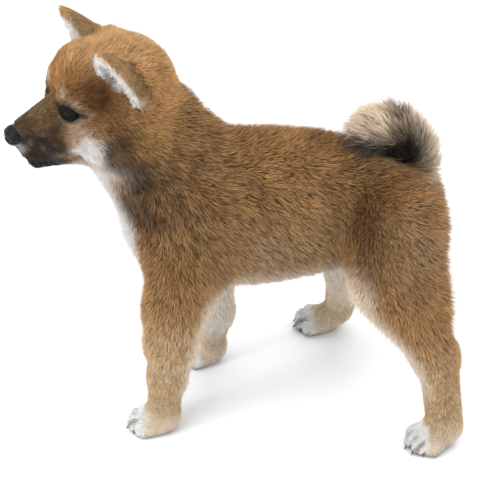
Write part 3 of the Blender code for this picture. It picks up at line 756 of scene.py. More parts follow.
    c = mix(c, WHITE * 0.88, np.clip(1.1 * throatw, 0, 0.92))
    under = hw * spot(qa, (25, 34.5, -2.5), (9, 8, 5.0))
    c = mix(c, CREAM * 0.80, 0.45 * np.clip(under * 1.3, 0, 1))
    dot = hw * spot(qa, (12.8, 38.0, 15.2), (3.0, 4.5, 2.3))
    c = mix(c, CREAM, 0.75 * np.clip(dot * 1.4, 0, 1))
    # mask of the muzzle: brown above, nearly black along the lips
    mz = hw * step(32, 44, f - 0.10 * side + 2.0 * mid)
    c = mix(c, MASKBROWN, 0.88 * mz)
    lower = mz * step(-3, -13, u + 2.0 * mid)
    c = mix(c, MASK, 0.93 * lower)
    deep = hw * step(34, 41, f) * step(-10, -20, u + 1.5 * mid)
    c = mix(c, SOOT * 1.6, 0.55 * deep)
    stripe = hw * spot(qa, (15, 42, -1), (7, 6, 9))
    c = mix(c, MASK, 0.75 * stripe)
    nosetop = mz * step(52, 60, f) * step(-16, -8, u)
    c = mix(c, MASK, 0.6 * nosetop)
    fleck = mz * step(0.25, 0.75, fine) * step(-26, -16, u)
    c = mix(c, GREYFAWN * 0.8, 0.40 * fleck)
    c = mix(c, SOOT * 1.3, 0.45 * mz * step(-0.2, -0.8, fine))
    grey = hw * spot(qa, (22, 43, -22), (5, 7, 2.6))
    c = mix(c, GREYFAWN, 0.65 * grey)
    lipwhite = hw * spot(qa, (6.5, 65, -18.5), (3.6, 3.2, 2.4))
    c = mix(c, WHITE * 0.6, np.clip(0.85 * lipwhite, 0, 0.75))
    jaw = hw * step(-27.5, -31, u) * step(50, 26, f) * step(6, 20, f)
    c = mix(c, CREAM * 0.8, 0.7 * jaw * step(24, 14, side + 0.3 * (f - 20)))
    md = np.minimum(line_distance(p, MOUTH), line_distance(p, MOUTH_R))
    lips = hw * step(4.6, 1.4, md)
    c = mix(c, SOOT, 0.9 * lips * step(63, 58, f))
    chin = hw * step(30, 38, f) * step(-29, -32, u)
    c = mix(c, SOOT * 1.2, 0.85 * chin)
    # rims of the eyes
    for s in (1, -1):
        gap, gn, h, v = lid_gap(p, s)
        near = (gn > 0) & (np.linalg.norm(p - EYES[s][0], axis=1) < 15)
        pale = near * step(5.0, 3.0, gap) * step(-4, 2, h)
        c = mix(c, CREAM * 0.8, 0.30 * pale)
        rim = near * step(2.1, 0.9, gap)
        c = mix(c, BLACK * 1.4, rim)
        tear = near * np.exp(-((h + 10.5) / 3.6) ** 2 - ((v + 0.6) / 2.2) ** 2)
        c = mix(c, SOOT, 0.9 * tear)
        tail_ = near * np.exp(-((h - 10.5) / 2.6) ** 2 - ((v + 1.2) / 1.3) ** 2)
        c = mix(c, SOOT, 0.75 * tail_)
    # ears
    for s in (1, -1):
        ex, ey, ez, t, eu, dist, face = ear_coords(p, s)
        on = parts[:, EAR] * (np.sign(q[:, 0]) == s)
        inner = on * (face < 0)
        outerf = on * (face > 0)
        c = mix(c, EARBACK, 0.9 * outerf)
        c = mix(c, CROWN, 0.55 * outerf * step(0.80, 0.98, t))
        c = mix(c, CROWN, 0.60 * outerf * step(0.35, 0.85, eu * s * s) * step(0.2, 0.5, t))
        c = mix(c, WHITE, 0.95 * inner)
        # painted shade: the hollow leading down into the ear is darkened towards soot
        pit = inner * step(0.22, 0.06, t) * step(3.0, 6.0, ey)
        c = mix(c, SOOT, 0.45 * pit)
        edge = on * step(0.84, 0.97, np.abs(eu)) * step(0.97, 0.9, t)
        c = mix(c, WHITE * 0.9, 0.8 * edge)
        brim = on * step(0.55, 0.78, -eu) * step(0.9, 0.7, t)
        c = mix(c, WHITE * 0.9, 0.85 * brim)
    # tail: cream outside; black painted shade in the fold of the curl and on its underside
    tw = parts[:, TAIL]
    c = mix(c, CREAM, 0.70 * tw * step(192, 212, z))
    c = mix(c, CREAM, 0.85 * tw * step(112, 123, y))
    # painted shade: black in the fold of the curl and on the tail's downward faces
    curl_fold_shade = np.exp(-((x - 15) / 14.0) ** 2 - ((y - 110) / 11.0) ** 2 - ((z - 206) / 12.0) ** 2)
    tail_underside_shade = tw * step(0.25, -0.45, n[:, 2]) * step(118, 108, y)
    c = mix(c, BLACK * 1.3, np.clip(tw * curl_fold_shade * 1.7, 0, 1))
    c = mix(c, BLACK * 1.3, 0.92 * tail_underside_shade)
    hump = tw * np.exp(-((y - 110) / 6.0) ** 2) * step(207, 217, z)
    c = mix(c, SABLE * 0.8, 0.62 * hump)
    grizzle = np.maximum(grizzle, 0.7 * tw)
    # pads and the bare soles
    pad = parts[:, PAW] * step(4.4, 2.6, z)
    c = mix(c, BLACK * 1.5, pad)
    return np.clip(c, 0, 1), np.clip(grizzle, 0, 1)


skin_parts, skin_lie0 = part_weights(skin_pts)
skin_col, skin_grizzle = markings(skin_pts, skin_nrm, skin_parts)


# ---------------------------------------------------------- an unwrap of the skin
def unwrap(p, n, parts):
    """Charts of the skin's own shape: round each part's axis, and along it."""
    part = parts.argmax(1)
    x, y, z = p[:, 0], p[:, 1], p[:, 2]
    q = (p - HC) @ HEAD_AXES
    uv = np.zeros((len(p), 2))

    def put(mask, a, b, box):
        uv[mask, 0] = box[0] + np.clip(a[mask], 0, 1) * (box[2] - box[0])
        uv[mask, 1] = box[1] + np.clip(b[mask], 0, 1) * (box[3] - box[1])

    def around(dx, dz):
        return np.arctan2(dx, -dz) / (2 * np.pi) + 0.5

    trunk = (part == TRUNK) | (part == NECK)
    put(trunk, around(x, z - 168), (y + 110) / 260.0, (0.01, 0.01, 0.49, 0.49))
    head = (part == HEAD) | (part == MUZZLE)
    put(head, around(q[:, 0], q[:, 2] + 8), (q[:, 1] + 50) / 125.0, (0.51, 0.01, 0.99, 0.49))
    legs = (part == LEG) | (part == PAW)
    k = 0
    for sx in (1, -1):
        for hind in (0, 1):
            mask = legs & (np.sign(x) == sx) & ((y > 35) == bool(hind))
            t = np.clip(z / 150.0, 0, 1)
            if hind:
                cx = sx * (64 - 36 * t) if sx > 0 else -(80 - 50 * t)
                cy = 132 - 30 * t if sx > 0 else 72 + 24 * t
            else:
                cx = 30 + 4 * t if sx > 0 else -(48 - 14 * t)
                cy = -62 + 22 * t if sx > 0 else -18 - 6 * t
            a = np.arctan2(x - cx, y - cy) / (2 * np.pi) + 0.5
            put(mask, a, z / 170.0, (0.01 + 0.16 * k, 0.51, 0.155 + 0.16 * k, 0.99))
            k += 1
    tail = part == TAIL
    put(tail, np.arctan2(n[:, 0], n[:, 1] * 0.7 + n[:, 2]) / (2 * np.pi) + 0.5,
        np.clip((np.arctan2(z - 196, 108 - y) + 1.2) / 4.0, 0, 1), (0.66, 0.51, 0.82, 0.99))
    for s, bx in ((1, 0.835), (-1, 0.915)):
        ex, ey, ez, t, eu, dist, face = ear_coords(p, s)
        mask = (part == EAR) & (np.sign(q[:, 0]) == s)
        b = np.where(face > 0, 0.52 + 0.46 * np.clip(t, 0, 1), 0.46 * np.clip(t, 0, 1))
        put(mask, (eu + 1.2) / 2.4, b, (bx, 0.51, bx + 0.07, 0.99))
    return uv


# ------------------------------------------------------------------- materials
def node_material(name):
    m = bpy.data.materials.new(name)
    m.use_nodes = True
    nt = m.node_tree
    return m, nt, nt.nodes["Principled BSDF"]


def coat_material(name, bump, rough, scale):
    m, nt, b = node_material(name)
    at = nt.nodes.new("ShaderNodeAttribute")
    at.attribute_name = "coat"
    tc = nt.nodes.new("ShaderNodeTexCoord")
    no = nt.nodes.new("ShaderNodeTexNoise")
    no.inputs["Scale"].default_value = scale
    no.inputs["Detail"].default_value = 4.0
    nt.links.new(tc.outputs["Object"], no.inputs["Vector"])
    ramp = nt.nodes.new("ShaderNodeMapRange")
    ramp.inputs["From Min"].default_value = 0.25
    ramp.inputs["From Max"].default_value = 0.75
    ramp.inputs["To Min"].default_value = 0.86
    ramp.inputs["To Max"].default_value = 1.12
    nt.links.new(no.outputs["Fac"], ramp.inputs["Value"])
    mul = nt.nodes.new("ShaderNodeVectorMath")
    mul.operation = "SCALE"
    nt.links.new(at.outputs["Color"], mul.inputs[0])
    nt.links.new(ramp.outputs["Result"], mul.inputs["Scale"])
    nt.links.new(mul.outputs["Vector"], b.inputs["Base Color"])
    b.inputs["Roughness"].default_value = rough
    b.inputs["Specular IOR Level"].default_value = 0.15
    if bump:
        fine = nt.nodes.new("ShaderNodeTexNoise")
        fine.inputs["Scale"].default_value = scale * 6
        fine.inputs["Detail"].default_value = 3.0
        nt.links.new(tc.outputs["Object"], fine.inputs["Vector"])
        bp = nt.nodes.new("ShaderNodeBump")
        bp.inputs["Strength"].default_value = bump
        bp.inputs["Distance"].default_value = 0.0006
        nt.links.new(fine.outputs["Fac"], bp.inputs["Height"])
        nt.links.new(bp.outputs["Normal"], b.inputs["Normal"])
    return m


SKIN_MAT = coat_material("skin_under_coat", 0.6, 0.8, 160.0)
FUR_MAT = coat_material("fur", 0.0, 0.62, 220.0)
FUR_MAT.node_tree.nodes["Principled BSDF"].inputs["Sheen Weight"].default_value = 0.03
FUR_MAT.node_tree.nodes["Principled BSDF"].inputs["Sheen Roughness"].default_value = 0.5

skin_me = mesh_from_arrays("skin", skin_pts, skin_tris)
# painted shade: the skin takes the coat's colours darkened to 0.62, so the gaps between tufts read as shade; pale
# coat is darkened only to 0.90
paint(skin_me, "coat", skin_col * (0.62 + 0.28 * step(0.45, 0.75, skin_col.mean(1)))[:, None])
skin = add_object("skin", skin_me)
skin_me.materials.append(SKIN_MAT)
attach(skin, "root")
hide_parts("head", "neck", "trunk", "tail", "ear_left", "ear_right",
            "foreleg_left", "foreleg_right", "forepaw_left", "forepaw_right",
            "hindleg_left", "hindleg_right", "hindpaw_left", "hindpaw_right")


# ------------------------------------------------------------------------ coat
def tri_areas(p, t):
    a, b, c = p[t[:, 0]], p[t[:, 1]], p[t[:, 2]]
    return 0.5 * np.linalg.norm(np.cross(b - a, c - a), axis=1)


#                   trunk neck  head muzzle leg  paw   tail  ear
DENSITY = np.array([0.98, 1.02, 2.4, 3.0, 1.2, 2.2, 1.5, 2.6])
LENGTH = np.array([10.8, 10.8, 7.0, 3.4, 8.0, 4.2, 18.0, 3.8])
WIDTH = np.array([0.54, 0.54, 0.33, 0.30, 0.45, 0.36, 0.42, 0.32])
CLUMP = np.array([0.19, 0.22, 0.11, 0.06, 0.16, 0.08, 0.32, 0.10])
CLUMP_SIZE = np.array([3.4, 3.6, 2.6, 2.0, 3.0, 2.0, 4.5, 2.2])
TUFTS = 243000

areas = tri_areas(skin_pts, skin_tris)
tp = skin_parts[skin_tris].mean(1)
dens = (tp * DENSITY).sum(1)
cen = skin_pts[skin_tris].mean(1)
bare = np.zeros(len(cen), bool)
for s in (1, -1):
    gap, gn, h, v = lid_gap(cen, s)
    bare |= (gap < 0.8) & (gn > 0) & (np.linalg.norm(cen - EYES[s][0], axis=1) < 14)
nose_c = head_point(*NOSE_AT)
qn = (cen - nose_c) @ HEAD_AXES / np.array(NOSE_RADII)
bare |= np.linalg.norm(qn, axis=1) < 1.05
bare |= cen[:, 2] < 2.4
bare |= (np.minimum(line_distance(cen, MOUTH), line_distance(cen, MOUTH_R)) < 0.9)
weight = areas * dens * ~bare
cum = np.cumsum(weight)
pick = np.searchsorted(cum, (np.arange(TUFTS) + rng.random(TUFTS)) / TUFTS * cum[-1])
pick = np.clip(pick, 0, len(cum) - 1)
r1, r2 = rng.random(TUFTS), rng.random(TUFTS)
flip = r1 + r2 > 1
r1[flip], r2[flip] = 1 - r1[flip], 1 - r2[flip]
T = skin_tris[pick]
bary = np.stack([1 - r1 - r2, r1, r2], 1)


def gather(a):
    return (a[T] * bary[:, :, None]).sum(1)


root = gather(skin_pts)
nrm = unit(gather(skin_nrm))
parts = gather(skin_parts)
vert_lie = lie_of_coat(skin_pts, skin_nrm, skin_parts, skin_lie0)
lie = gather(vert_lie)
lie = unit(lie - nrm * (lie * nrm).sum(1, keepdims=True))
col = gather(skin_col)
griz = (skin_grizzle[T] * bary).sum(1)
vert_depth = np.clip(-form(skin_pts, "coat"), 0.6, 14)
depth = (vert_depth[T] * bary).sum(1)
print("roots", len(root), depth.min(), depth.mean(), depth.max())

sidew = unit(np.cross(nrm, lie))
W = (parts * WIDTH).sum(1) * (0.75 + 0.5 * rng.random(TUFTS))
clump = (parts * CLUMP).sum(1)
csize = (parts * CLUMP_SIZE).sum(1)
rear = step(0.2, 0.8, nrm[:, 1]) * step(95, 115, root[:, 1]) * step(50, 75, root[:, 2])
rear = np.maximum(rear, 0.7 * parts[:, NECK] * step(0.2, 0.8, nrm[:, 1] + nrm[:, 2] * 0.5))
reach = depth * (0.76 + 0.50 * rng.random(TUFTS)) * (1 + 0.30 * rear * rng.random(TUFTS))
# some hairs, finer ones, stand past the rest, most of all on the tail
longer = rng.random(TUFTS) < (0.12 + 0.30 * parts[:, TAIL] + 0.08 * parts[:, NECK] + 0.10 * parts[:, LEG]
                              - 0.06 * (parts[:, MUZZLE] + parts[:, PAW] + parts[:, EAR]))
reach = reach * np.where(longer, 1.30 + 0.28 * parts[:, TAIL] + 0.22 * parts[:, LEG], 1.0)
W = W * np.where(longer, 0.65, 1.0)
in_ear = np.zeros(TUFTS)
for s in (1, -1):
    ex, ey, ez, et, eu, ed, ef = ear_coords(root, s)
    here = (np.sign((root - HC) @ HEAD_AXES[:, 0]) == s) & (ef < 0) & (et > 0.05) & (et < 0.85)
    in_ear = np.where(here, parts[:, EAR] * step(0.86, 0.6, np.abs(eu)), in_ear)
reach = reach + 2.6 * in_ear * (0.5 + rng.random(TUFTS))
length = (parts * LENGTH).sum(1) * (0.8 + 0.4 * rng.random(TUFTS)) * (1 + 0.9 * in_ear)
length = np.where(longer, length * 1.18, length)
length = np.maximum(length, reach / 0.92)
length = np.clip(length, 1.4, 26)
lift = reach / length

# random swing of each tuft
sw = rng.normal(size=TUFTS) * 0.29
sw2 = rng.normal(size=TUFTS) * 0.10
dir_t = unit(lie + sidew * sw[:, None])
n_part = np.clip(lift * (1 + sw2), 0.05, 0.95)
tip = root + length[:, None] * (dir_t * np.sqrt(np.clip(1 - n_part ** 2, 0.05, 1))[:, None]
                                + nrm * n_part[:, None])
# locks: tips gather towards the tip of a tuft near by
order = rng.permutation(TUFTS)
share = 1.0 / (csize ** 2 * np.maximum((parts * DENSITY).sum(1), 0.3) * TUFTS / 150000.0)
leaders = order[rng.random(TUFTS) < np.clip(share, 0, 0.5)]
kd = kdtree.KDTree(len(leaders))
for i, k in enumerate(leaders):
    kd.insert(root[k], i)
kd.balance()
lead = np.empty(TUFTS, int)
for i in range(TUFTS):
    lead[i] = leaders[kd.find(root[i])[1]]
swing = rng.normal(size=(TUFTS, 2)) * np.array([0.20, 0.12])
lead_tip = tip + (sidew * swing[:, :1] + nrm * swing[:, 1:]) * length[:, None]
off = lead_tip[lead] - root[lead] + (root[lead] - root)
same = (nrm * nrm[lead]).sum(1) > 0.6
pull = clump * same * (0.6 + 0.8 * rng.random(TUFTS))
tipc = tip * (1 - pull[:, None]) + (root + off) * pull[:, None]
tip = tipc
# keep the whole coat above the ground
tip[:, 2] = np.maximum(tip[:, 2], 0.25)
# no tuft hangs over an open eye or the leather of the nose
keep = np.ones(TUFTS, bool)
for shorten in (0.55, 0.35, 0.0):
    over = np.zeros(TUFTS, bool)
    for s in (1, -1):
        gap, gn, h, v = lid_gap(tip, s)
        over |= (gap < 0.5) & (gn > 0) & (np.linalg.norm(tip - EYES[s][0], axis=1) < 16)
    on_nose = (tip - nose_c) @ HEAD_AXES / np.array(NOSE_RADII)
    over |= np.linalg.norm(on_nose, axis=1) < 1.04
    if shorten:
        tip[over] = root[over] + (tip[over] - root[over]) * shorten
    else:
        keep &= ~over
chord = tip - root
length = np.linalg.norm(chord, axis=1)
midp = root + chord * 0.38 + nrm * (0.13 * length)[:, None]
midp[:, 2] = np.maximum(midp[:, 2], 0.3)
root_in = root - nrm * 0.3

axis = unit(chord)
wide = unit(np.cross(axis, nrm))
# a few tufts are rolled about their own axis
roll = rng.normal(size=TUFTS) * 0.5
thin = unit(np.cross(wide, axis))
wide2 = wide * np.cos(roll)[:, None] + thin * np.sin(roll)[:, None]
thin2 = -wide * np.sin(roll)[:, None] + thin * np.cos(roll)[:, None]
hw = (W * 0.5)[:, None]
V = np.empty((TUFTS, 5, 3))
V[:, 0] = root_in
V[:, 1] = midp - wide2 * hw
V[:, 2] = midp + wide2 * hw
V[:, 3] = midp + thin2 * hw * 0.9
V[:, 4] = tip
V[:, :, 2] = np.maximum(V[:, :, 2], 0.15)
FACES = np.array([[0, 2, 1], [0, 3, 2], [0, 1, 3], [4, 1, 2], [4, 2, 3], [4, 3, 1]])
# faces point outwards: test one tuft's signed volume and turn the list if need be
tet = V[:400] - V[:400, :1]
vol = sum(np.einsum("ij,ij->i", tet[:, f[0]], np.cross(tet[:, f[1]], tet[:, f[2]])) for f in FACES)
if np.median(vol) < 0:
    FACES = FACES[:, ::-1].copy()

# colour along each tuft: a dark root, partly dusky undercoat and partly painted shade deep in the coat; its own
# colour; a golden, pale or sooty end
body = parts[:, TRUNK] + parts[:, NECK] + 0.6 * parts[:, LEG] + 0.5 * parts[:, HEAD] + 0.5 * parts[:, MUZZLE]
kind = rng.random(TUFTS)
lock = wave_noise(root, 9.0, 77, 2)
lum = col.mean(1)
even = step(0.75, 0.35, lum)            # white coat varies less
light = 1.0 + (0.24 * rng.normal(size=TUFTS) + 0.18 * lock) * (0.25 + 0.75 * even)
warm = 1.0 + 0.03 * rng.normal(size=TUFTS)
own = col * np.clip(light, 0.45, 1.7)[:, None] * np.stack([warm, np.ones(TUFTS), 1 / warm], 1)
even_top = 1 - 0.55 * step(0.45, 0.85, nrm[:, 2]) * parts[:, TRUNK]
golden = (kind < (0.28 * body + 0.15 * griz) * even_top) & (lum > 0.045)
dark = (kind > 1 - (0.22 * body + 0.26 * griz + 0.10 * parts[:, NECK]) * even_top) & (lum < 0.42)
ash = lin(222, 194, 156)[None] * np.clip(lum / 0.24, 0.18, 1.1)[:, None]
ash = mix(ash, own * 1.5, 0.55 * parts[:, HEAD])
endc = own * 1.06 + 0.09 * ash
endc = np.where(golden[:, None], own * 0.45 + 0.66 * ash, endc)
endc = np.where(dark[:, None], own * np.array([0.32, 0.28, 0.24]), endc)
C = np.empty((TUFTS, 5, 3))
# the root: dusky undercoat and painted shade deep in the coat, less on pale coat
C[:, 0] = own * (0.44 + 0.46 * (1 - even))[:, None] * np.array([1.04, 0.99, 0.92])
C[:, 1:4] = np.where(dark[:, None], own * 0.66, own * (0.96 + 0.05 * (1 - even))[:, None])[:, None]
C[:, 4] = endc
C = np.clip(C, 0.002, 0.96)

uv0 = unwrap(root, nrm, parts)
pat = np.array([[0.0, -0.0015], [-0.0015, 0.0], [0.0015, 0.0], [0.0, 0.0003], [0.0, 0.0015]])

PER_PIECE = 31000
part_id = parts.argmax(1)
key = {TRUNK: 0, NECK: 1, HEAD: 2, MUZZLE: 2, LEG: 3, PAW: 3, TAIL: 4, EAR: 2}
group = np.array([key[i] for i in part_id])
NAMES = {0: "coat_trunk", 1: "coat_neck", 2: "coat_head", 3: "coat_legs", 4: "coat_tail"}
for gi in range(5):
    idx = np.nonzero((group == gi) & keep)[0]
    idx = idx[np.lexsort((root[idx, 0], root[idx, 1]))]
    n_pieces = max(1, int(np.ceil(len(idx) / PER_PIECE)))
    for k, part_idx in enumerate(np.array_split(idx, n_pieces)):
        n = len(part_idx)
        name = NAMES[gi] + ("_%d" % (k + 1) if n_pieces > 1 else "")
        tris = (np.arange(n)[:, None, None] * 5 + FACES[None]).reshape(-1, 3)
        me = mesh_from_arrays(name, V[part_idx].reshape(-1, 3), tris)
        paint(me, "coat", C[part_idx].reshape(-1, 3))
        uvl = me.uv_layers.new(name="OFBake")
        uvv = (uv0[part_idx][:, None] + pat[None]).reshape(-1, 2)
        uvl.data.foreach_set("uv", uvv[tris.ravel()].astype(np.float32).ravel())
        o = add_object(name, me)
        me.materials.append(FUR_MAT)
        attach(o, "root")
        print(name, n, len(tris))

# ------------------------------------------------------------------------ eyes
EYE_MAT, nt, b = node_material("eye")
at = nt.nodes.new("ShaderNodeAttribute")
at.attribute_name = "coat"
nt.links.new(at.outputs["Color"], b.inputs["Base Color"])
no = nt.nodes.new("ShaderNodeTexNoise")
no.inputs["Scale"].default_value = 900.0
mr = nt.nodes.new("ShaderNodeMapRange")
mr.inputs["To Min"].default_value = 0.02
mr.inputs["To Max"].default_value = 0.05
nt.links.new(no.outputs["Fac"], mr.inputs["Value"])
nt.links.new(mr.outputs["Result"], b.inputs["Roughness"])
b.inputs["IOR"].default_value = 1.34
b.inputs["Specular IOR Level"].default_value = 0.22
for s, tag in ((1, "left"), (-1, "right")):
    c, corner, up, gaze = EYES[s]
    bm = bmesh.new()
    bmesh.ops.create_uvsphere(bm, u_segments=72, v_segments=48, radius=1.0)
    bmesh.ops.triangulate(bm, faces=bm.faces)
    side_ = np.cross(up, gaze)
    pts = np.array([v.co[:] for v in bm.verts])
    bm.faces.ensure_lookup_table()
    tris = np.array([[v.index for v in f.verts] for f in bm.faces])
    bm.free()
    ang = np.arccos(np.clip(pts[:, 2], -1, 1))
    rad = EYE_RADIUS - 0.15 + 0.55 * np.exp(-(ang / 0.62) ** 4)
    P = c + (pts[:, :1] * side_ + pts[:, 1:2] * up + pts[:, 2:] * gaze) * rad[:, None]
    colr = np.repeat(lin(7, 6, 8)[None], len(P), 0)
    # blue-grey iris ring round a dark pupil; its light tone is partly a painted reflection
    iris_and_reflection = step(0.92, 0.80, ang) * step(0.56, 0.70, ang)
    th = np.arctan2(pts[:, 1], pts[:, 0])
    fib = 0.5 + 0.5 * np.sin(th * 37 + 3 * np.sin(th * 5))
    colr = mix(colr, lin(54, 56, 66), iris_and_reflection * (0.55 + 0.35 * fib))
    colr = mix(colr, lin(150, 140, 134), step(1.15, 1.30, ang))
    me = mesh_from_arrays("eyeball_" + tag, P, tris)
    paint(me, "coat", colr)
    o = add_object("eyeball_" + tag, me)
    me.materials.append(EYE_MAT)
    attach(o, "root")
    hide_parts("eye_" + tag)

# ------------------------------------------------------------------------ nose
NOSE_MAT, nt, b = node_material("nose_leather")
tc = nt.nodes.new("ShaderNodeTexCoord")
vo = nt.nodes.new("ShaderNodeTexVoronoi")
vo.inputs["Scale"].default_value = 1100.0
nt.links.new(tc.outputs["Object"], vo.inputs["Vector"])
bp = nt.nodes.new("ShaderNodeBump")
bp.inputs["Strength"].default_value = 0.45
bp.inputs["Distance"].default_value = 0.0004
nt.links.new(vo.outputs["Distance"], bp.inputs["Height"])
nt.links.new(bp.outputs["Normal"], b.inputs["Normal"])
no = nt.nodes.new("ShaderNodeTexNoise")
no.inputs["Scale"].default_value = 260.0
nt.links.new(tc.outputs["Object"], no.inputs["Vector"])
cr = nt.nodes.new("ShaderNodeMix")
cr.data_type = "RGBA"
cr.inputs[6].default_value = (0.003, 0.003, 0.0035, 1)
cr.inputs[7].default_value = (0.009, 0.009, 0.011, 1)
nt.links.new(no.outputs["Fac"], cr.inputs[0])
nt.links.new(cr.outputs[2], b.inputs["Base Color"])
b.inputs["Roughness"].default_value = 0.38
b.inputs["Specular IOR Level"].default_value = 0.15
bm = bmesh.new()
bmesh.ops.create_uvsphere(bm, u_segments=96, v_segments=64, radius=1.0)
bmesh.ops.triangulate(bm, faces=bm.faces)
pts = np.array([v.co[:] for v in bm.verts])
tris = np.array([[v.index for v in f.verts] for f in bm.faces])
bm.free()
# x left, y forward, z up on the ball
u3 = pts.copy()
sx, fy, uz = u3[:, 0], u3[:, 1], u3[:, 2]
rad = np.ones(len(u3))
rad *= 1 - 0.10 * step(0.2, 1.0, uz) * step(0.4, 1.0, np.abs(fy))
for s in (1, -1):
    d = np.sqrt(((sx - s * 0.44) / 0.24) ** 2 + ((uz + 0.05) / 0.22) ** 2)
    rad -= 0.30 * np.exp(-d ** 2.4) * (fy > 0)
    d2 = np.sqrt(((sx - s * 0.80) / 0.26) ** 2 + ((uz + 0.28 - 0.35 * (np.abs(sx) - 0.8)) / 0.10) ** 2)
    rad -= 0.16 * np.exp(-d2 ** 2) * (fy > -0.4)
    rad += 0.07 * np.exp(-(((sx - s * 0.62) / 0.22) ** 2 + ((uz - 0.28) / 0.2) ** 2))
rad -= 0.12 * np.exp(-(sx / 0.07) ** 2) * step(0.25, -0.2, uz) * (fy > 0)
R = np.array([NOSE_RADII[0], NOSE_RADII[1], NOSE_RADII[2]])
L = u3 * rad[:, None] * R
L[:, 0] *= 1 - 0.22 * step(0.0, -1.0, uz)          # narrower below
P = nose_c + L @ HEAD_AXES.T
e1, e2 = P[tris[:, 1]] - P[tris[:, 0]], P[tris[:, 2]] - P[tris[:, 0]]
if (np.cross(e1, e2) * (P[tris[:, 0]] - nose_c)).sum() < 0:
    tris = tris[:, ::-1].copy()
me = mesh_from_arrays("nose_leather", P, tris)
o = add_object("nose_leather", me)
me.materials.append(NOSE_MAT)
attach(o, "root")
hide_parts("nose")

# ----------------------------------------------------------------------- claws
CLAW_MAT, nt, b = node_material("claw_horn")
tc = nt.nodes.new("ShaderNodeTexCoord")
no = nt.nodes.new("ShaderNodeTexNoise")
no.inputs["Scale"].default_value = 500.0
nt.links.new(tc.outputs["Object"], no.inputs["Vector"])
cr = nt.nodes.new("ShaderNodeMix")
cr.data_type = "RGBA"
cr.inputs[6].default_value = (0.012, 0.010, 0.010, 1)
cr.inputs[7].default_value = (0.060, 0.048, 0.042, 1)
nt.links.new(no.outputs["Fac"], cr.inputs[0])
nt.links.new(cr.outputs[2], b.inputs["Base Color"])
b.inputs["Roughness"].default_value = 0.35


def tube(points, radii, sides=8):
    """A closed round tube through the points, ending in points of its own."""
    pts = np.array(points, float)
    n = len(pts)
    ring, tri = [], []
    up = vec(0, 0, 1)
    for i in range(n):
        a = unit(pts[min(i + 1, n - 1)] - pts[max(i - 1, 0)])
        s1 = np.cross(a, up)
        if np.linalg.norm(s1) < 0.2:
            s1 = np.cross(a, vec(1, 0, 0))
        s1 = unit(s1)
        s2 = np.cross(a, s1)
        for k in range(sides):
            t = 2 * np.pi * k / sides
            ring.append(pts[i] + (s1 * np.cos(t) + s2 * np.sin(t)) * radii[i])
    for i in range(n - 1):
        for k in range(sides):
            a, b_ = i * sides + k, i * sides + (k + 1) % sides
            tri += [[a, b_, b_ + sides], [a, b_ + sides, a + sides]]
    base, end = len(ring), len(ring) + 1
    ring += [pts[0], pts[-1]]
    for k in range(sides):
        tri.append([base, (k + 1) % sides, k])
        tri.append([end, (n - 1) * sides + k, (n - 1) * sides + (k + 1) % sides])
    return np.array(ring), np.array(tri)


def join(shells):
    vs, ts, o_ = [], [], 0
    for v, t in shells:
        vs.append(v)
        ts.append(t + o_)
        o_ += len(v)
    return np.concatenate(vs), np.concatenate(ts)


def outward(v, t):
    c = v.mean(0)
    e1, e2 = v[t[:, 1]] - v[t[:, 0]], v[t[:, 2]] - v[t[:, 0]]
    vol = ((v[t[:, 0]] - c) * np.cross(e1, e2)).sum()
    return (v, t) if vol > 0 else (v, t[:, ::-1].copy())


shells = []
for name, (px, py), angle in PAWS:
    turn = turn_z(angle)
    for tx, ty in TOE_PLACES:
        line, rads = [], []
        for i in range(7):
            t = i / 6.0
            fwd = TOE_RADIUS - 3.0 + 4.9 * t
            zz = 4.4 - 0.6 * t - 2.6 * t * t
            line.append(vec(px, py, 0) + turn @ vec(tx * (1 + 0.05 * t), ty - 1 - fwd, zz))
            rads.append(1.25 * (1 - 0.80 * t ** 1.5))
        shells.append(outward(*tube(line, rads, 10)))
v, t = join(shells)
v[:, 2] = np.maximum(v[:, 2], 0.2)
me = mesh_from_arrays("claws", v, t)
o = add_object("claws", me)
me.materials.append(CLAW_MAT)
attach(o, "root")

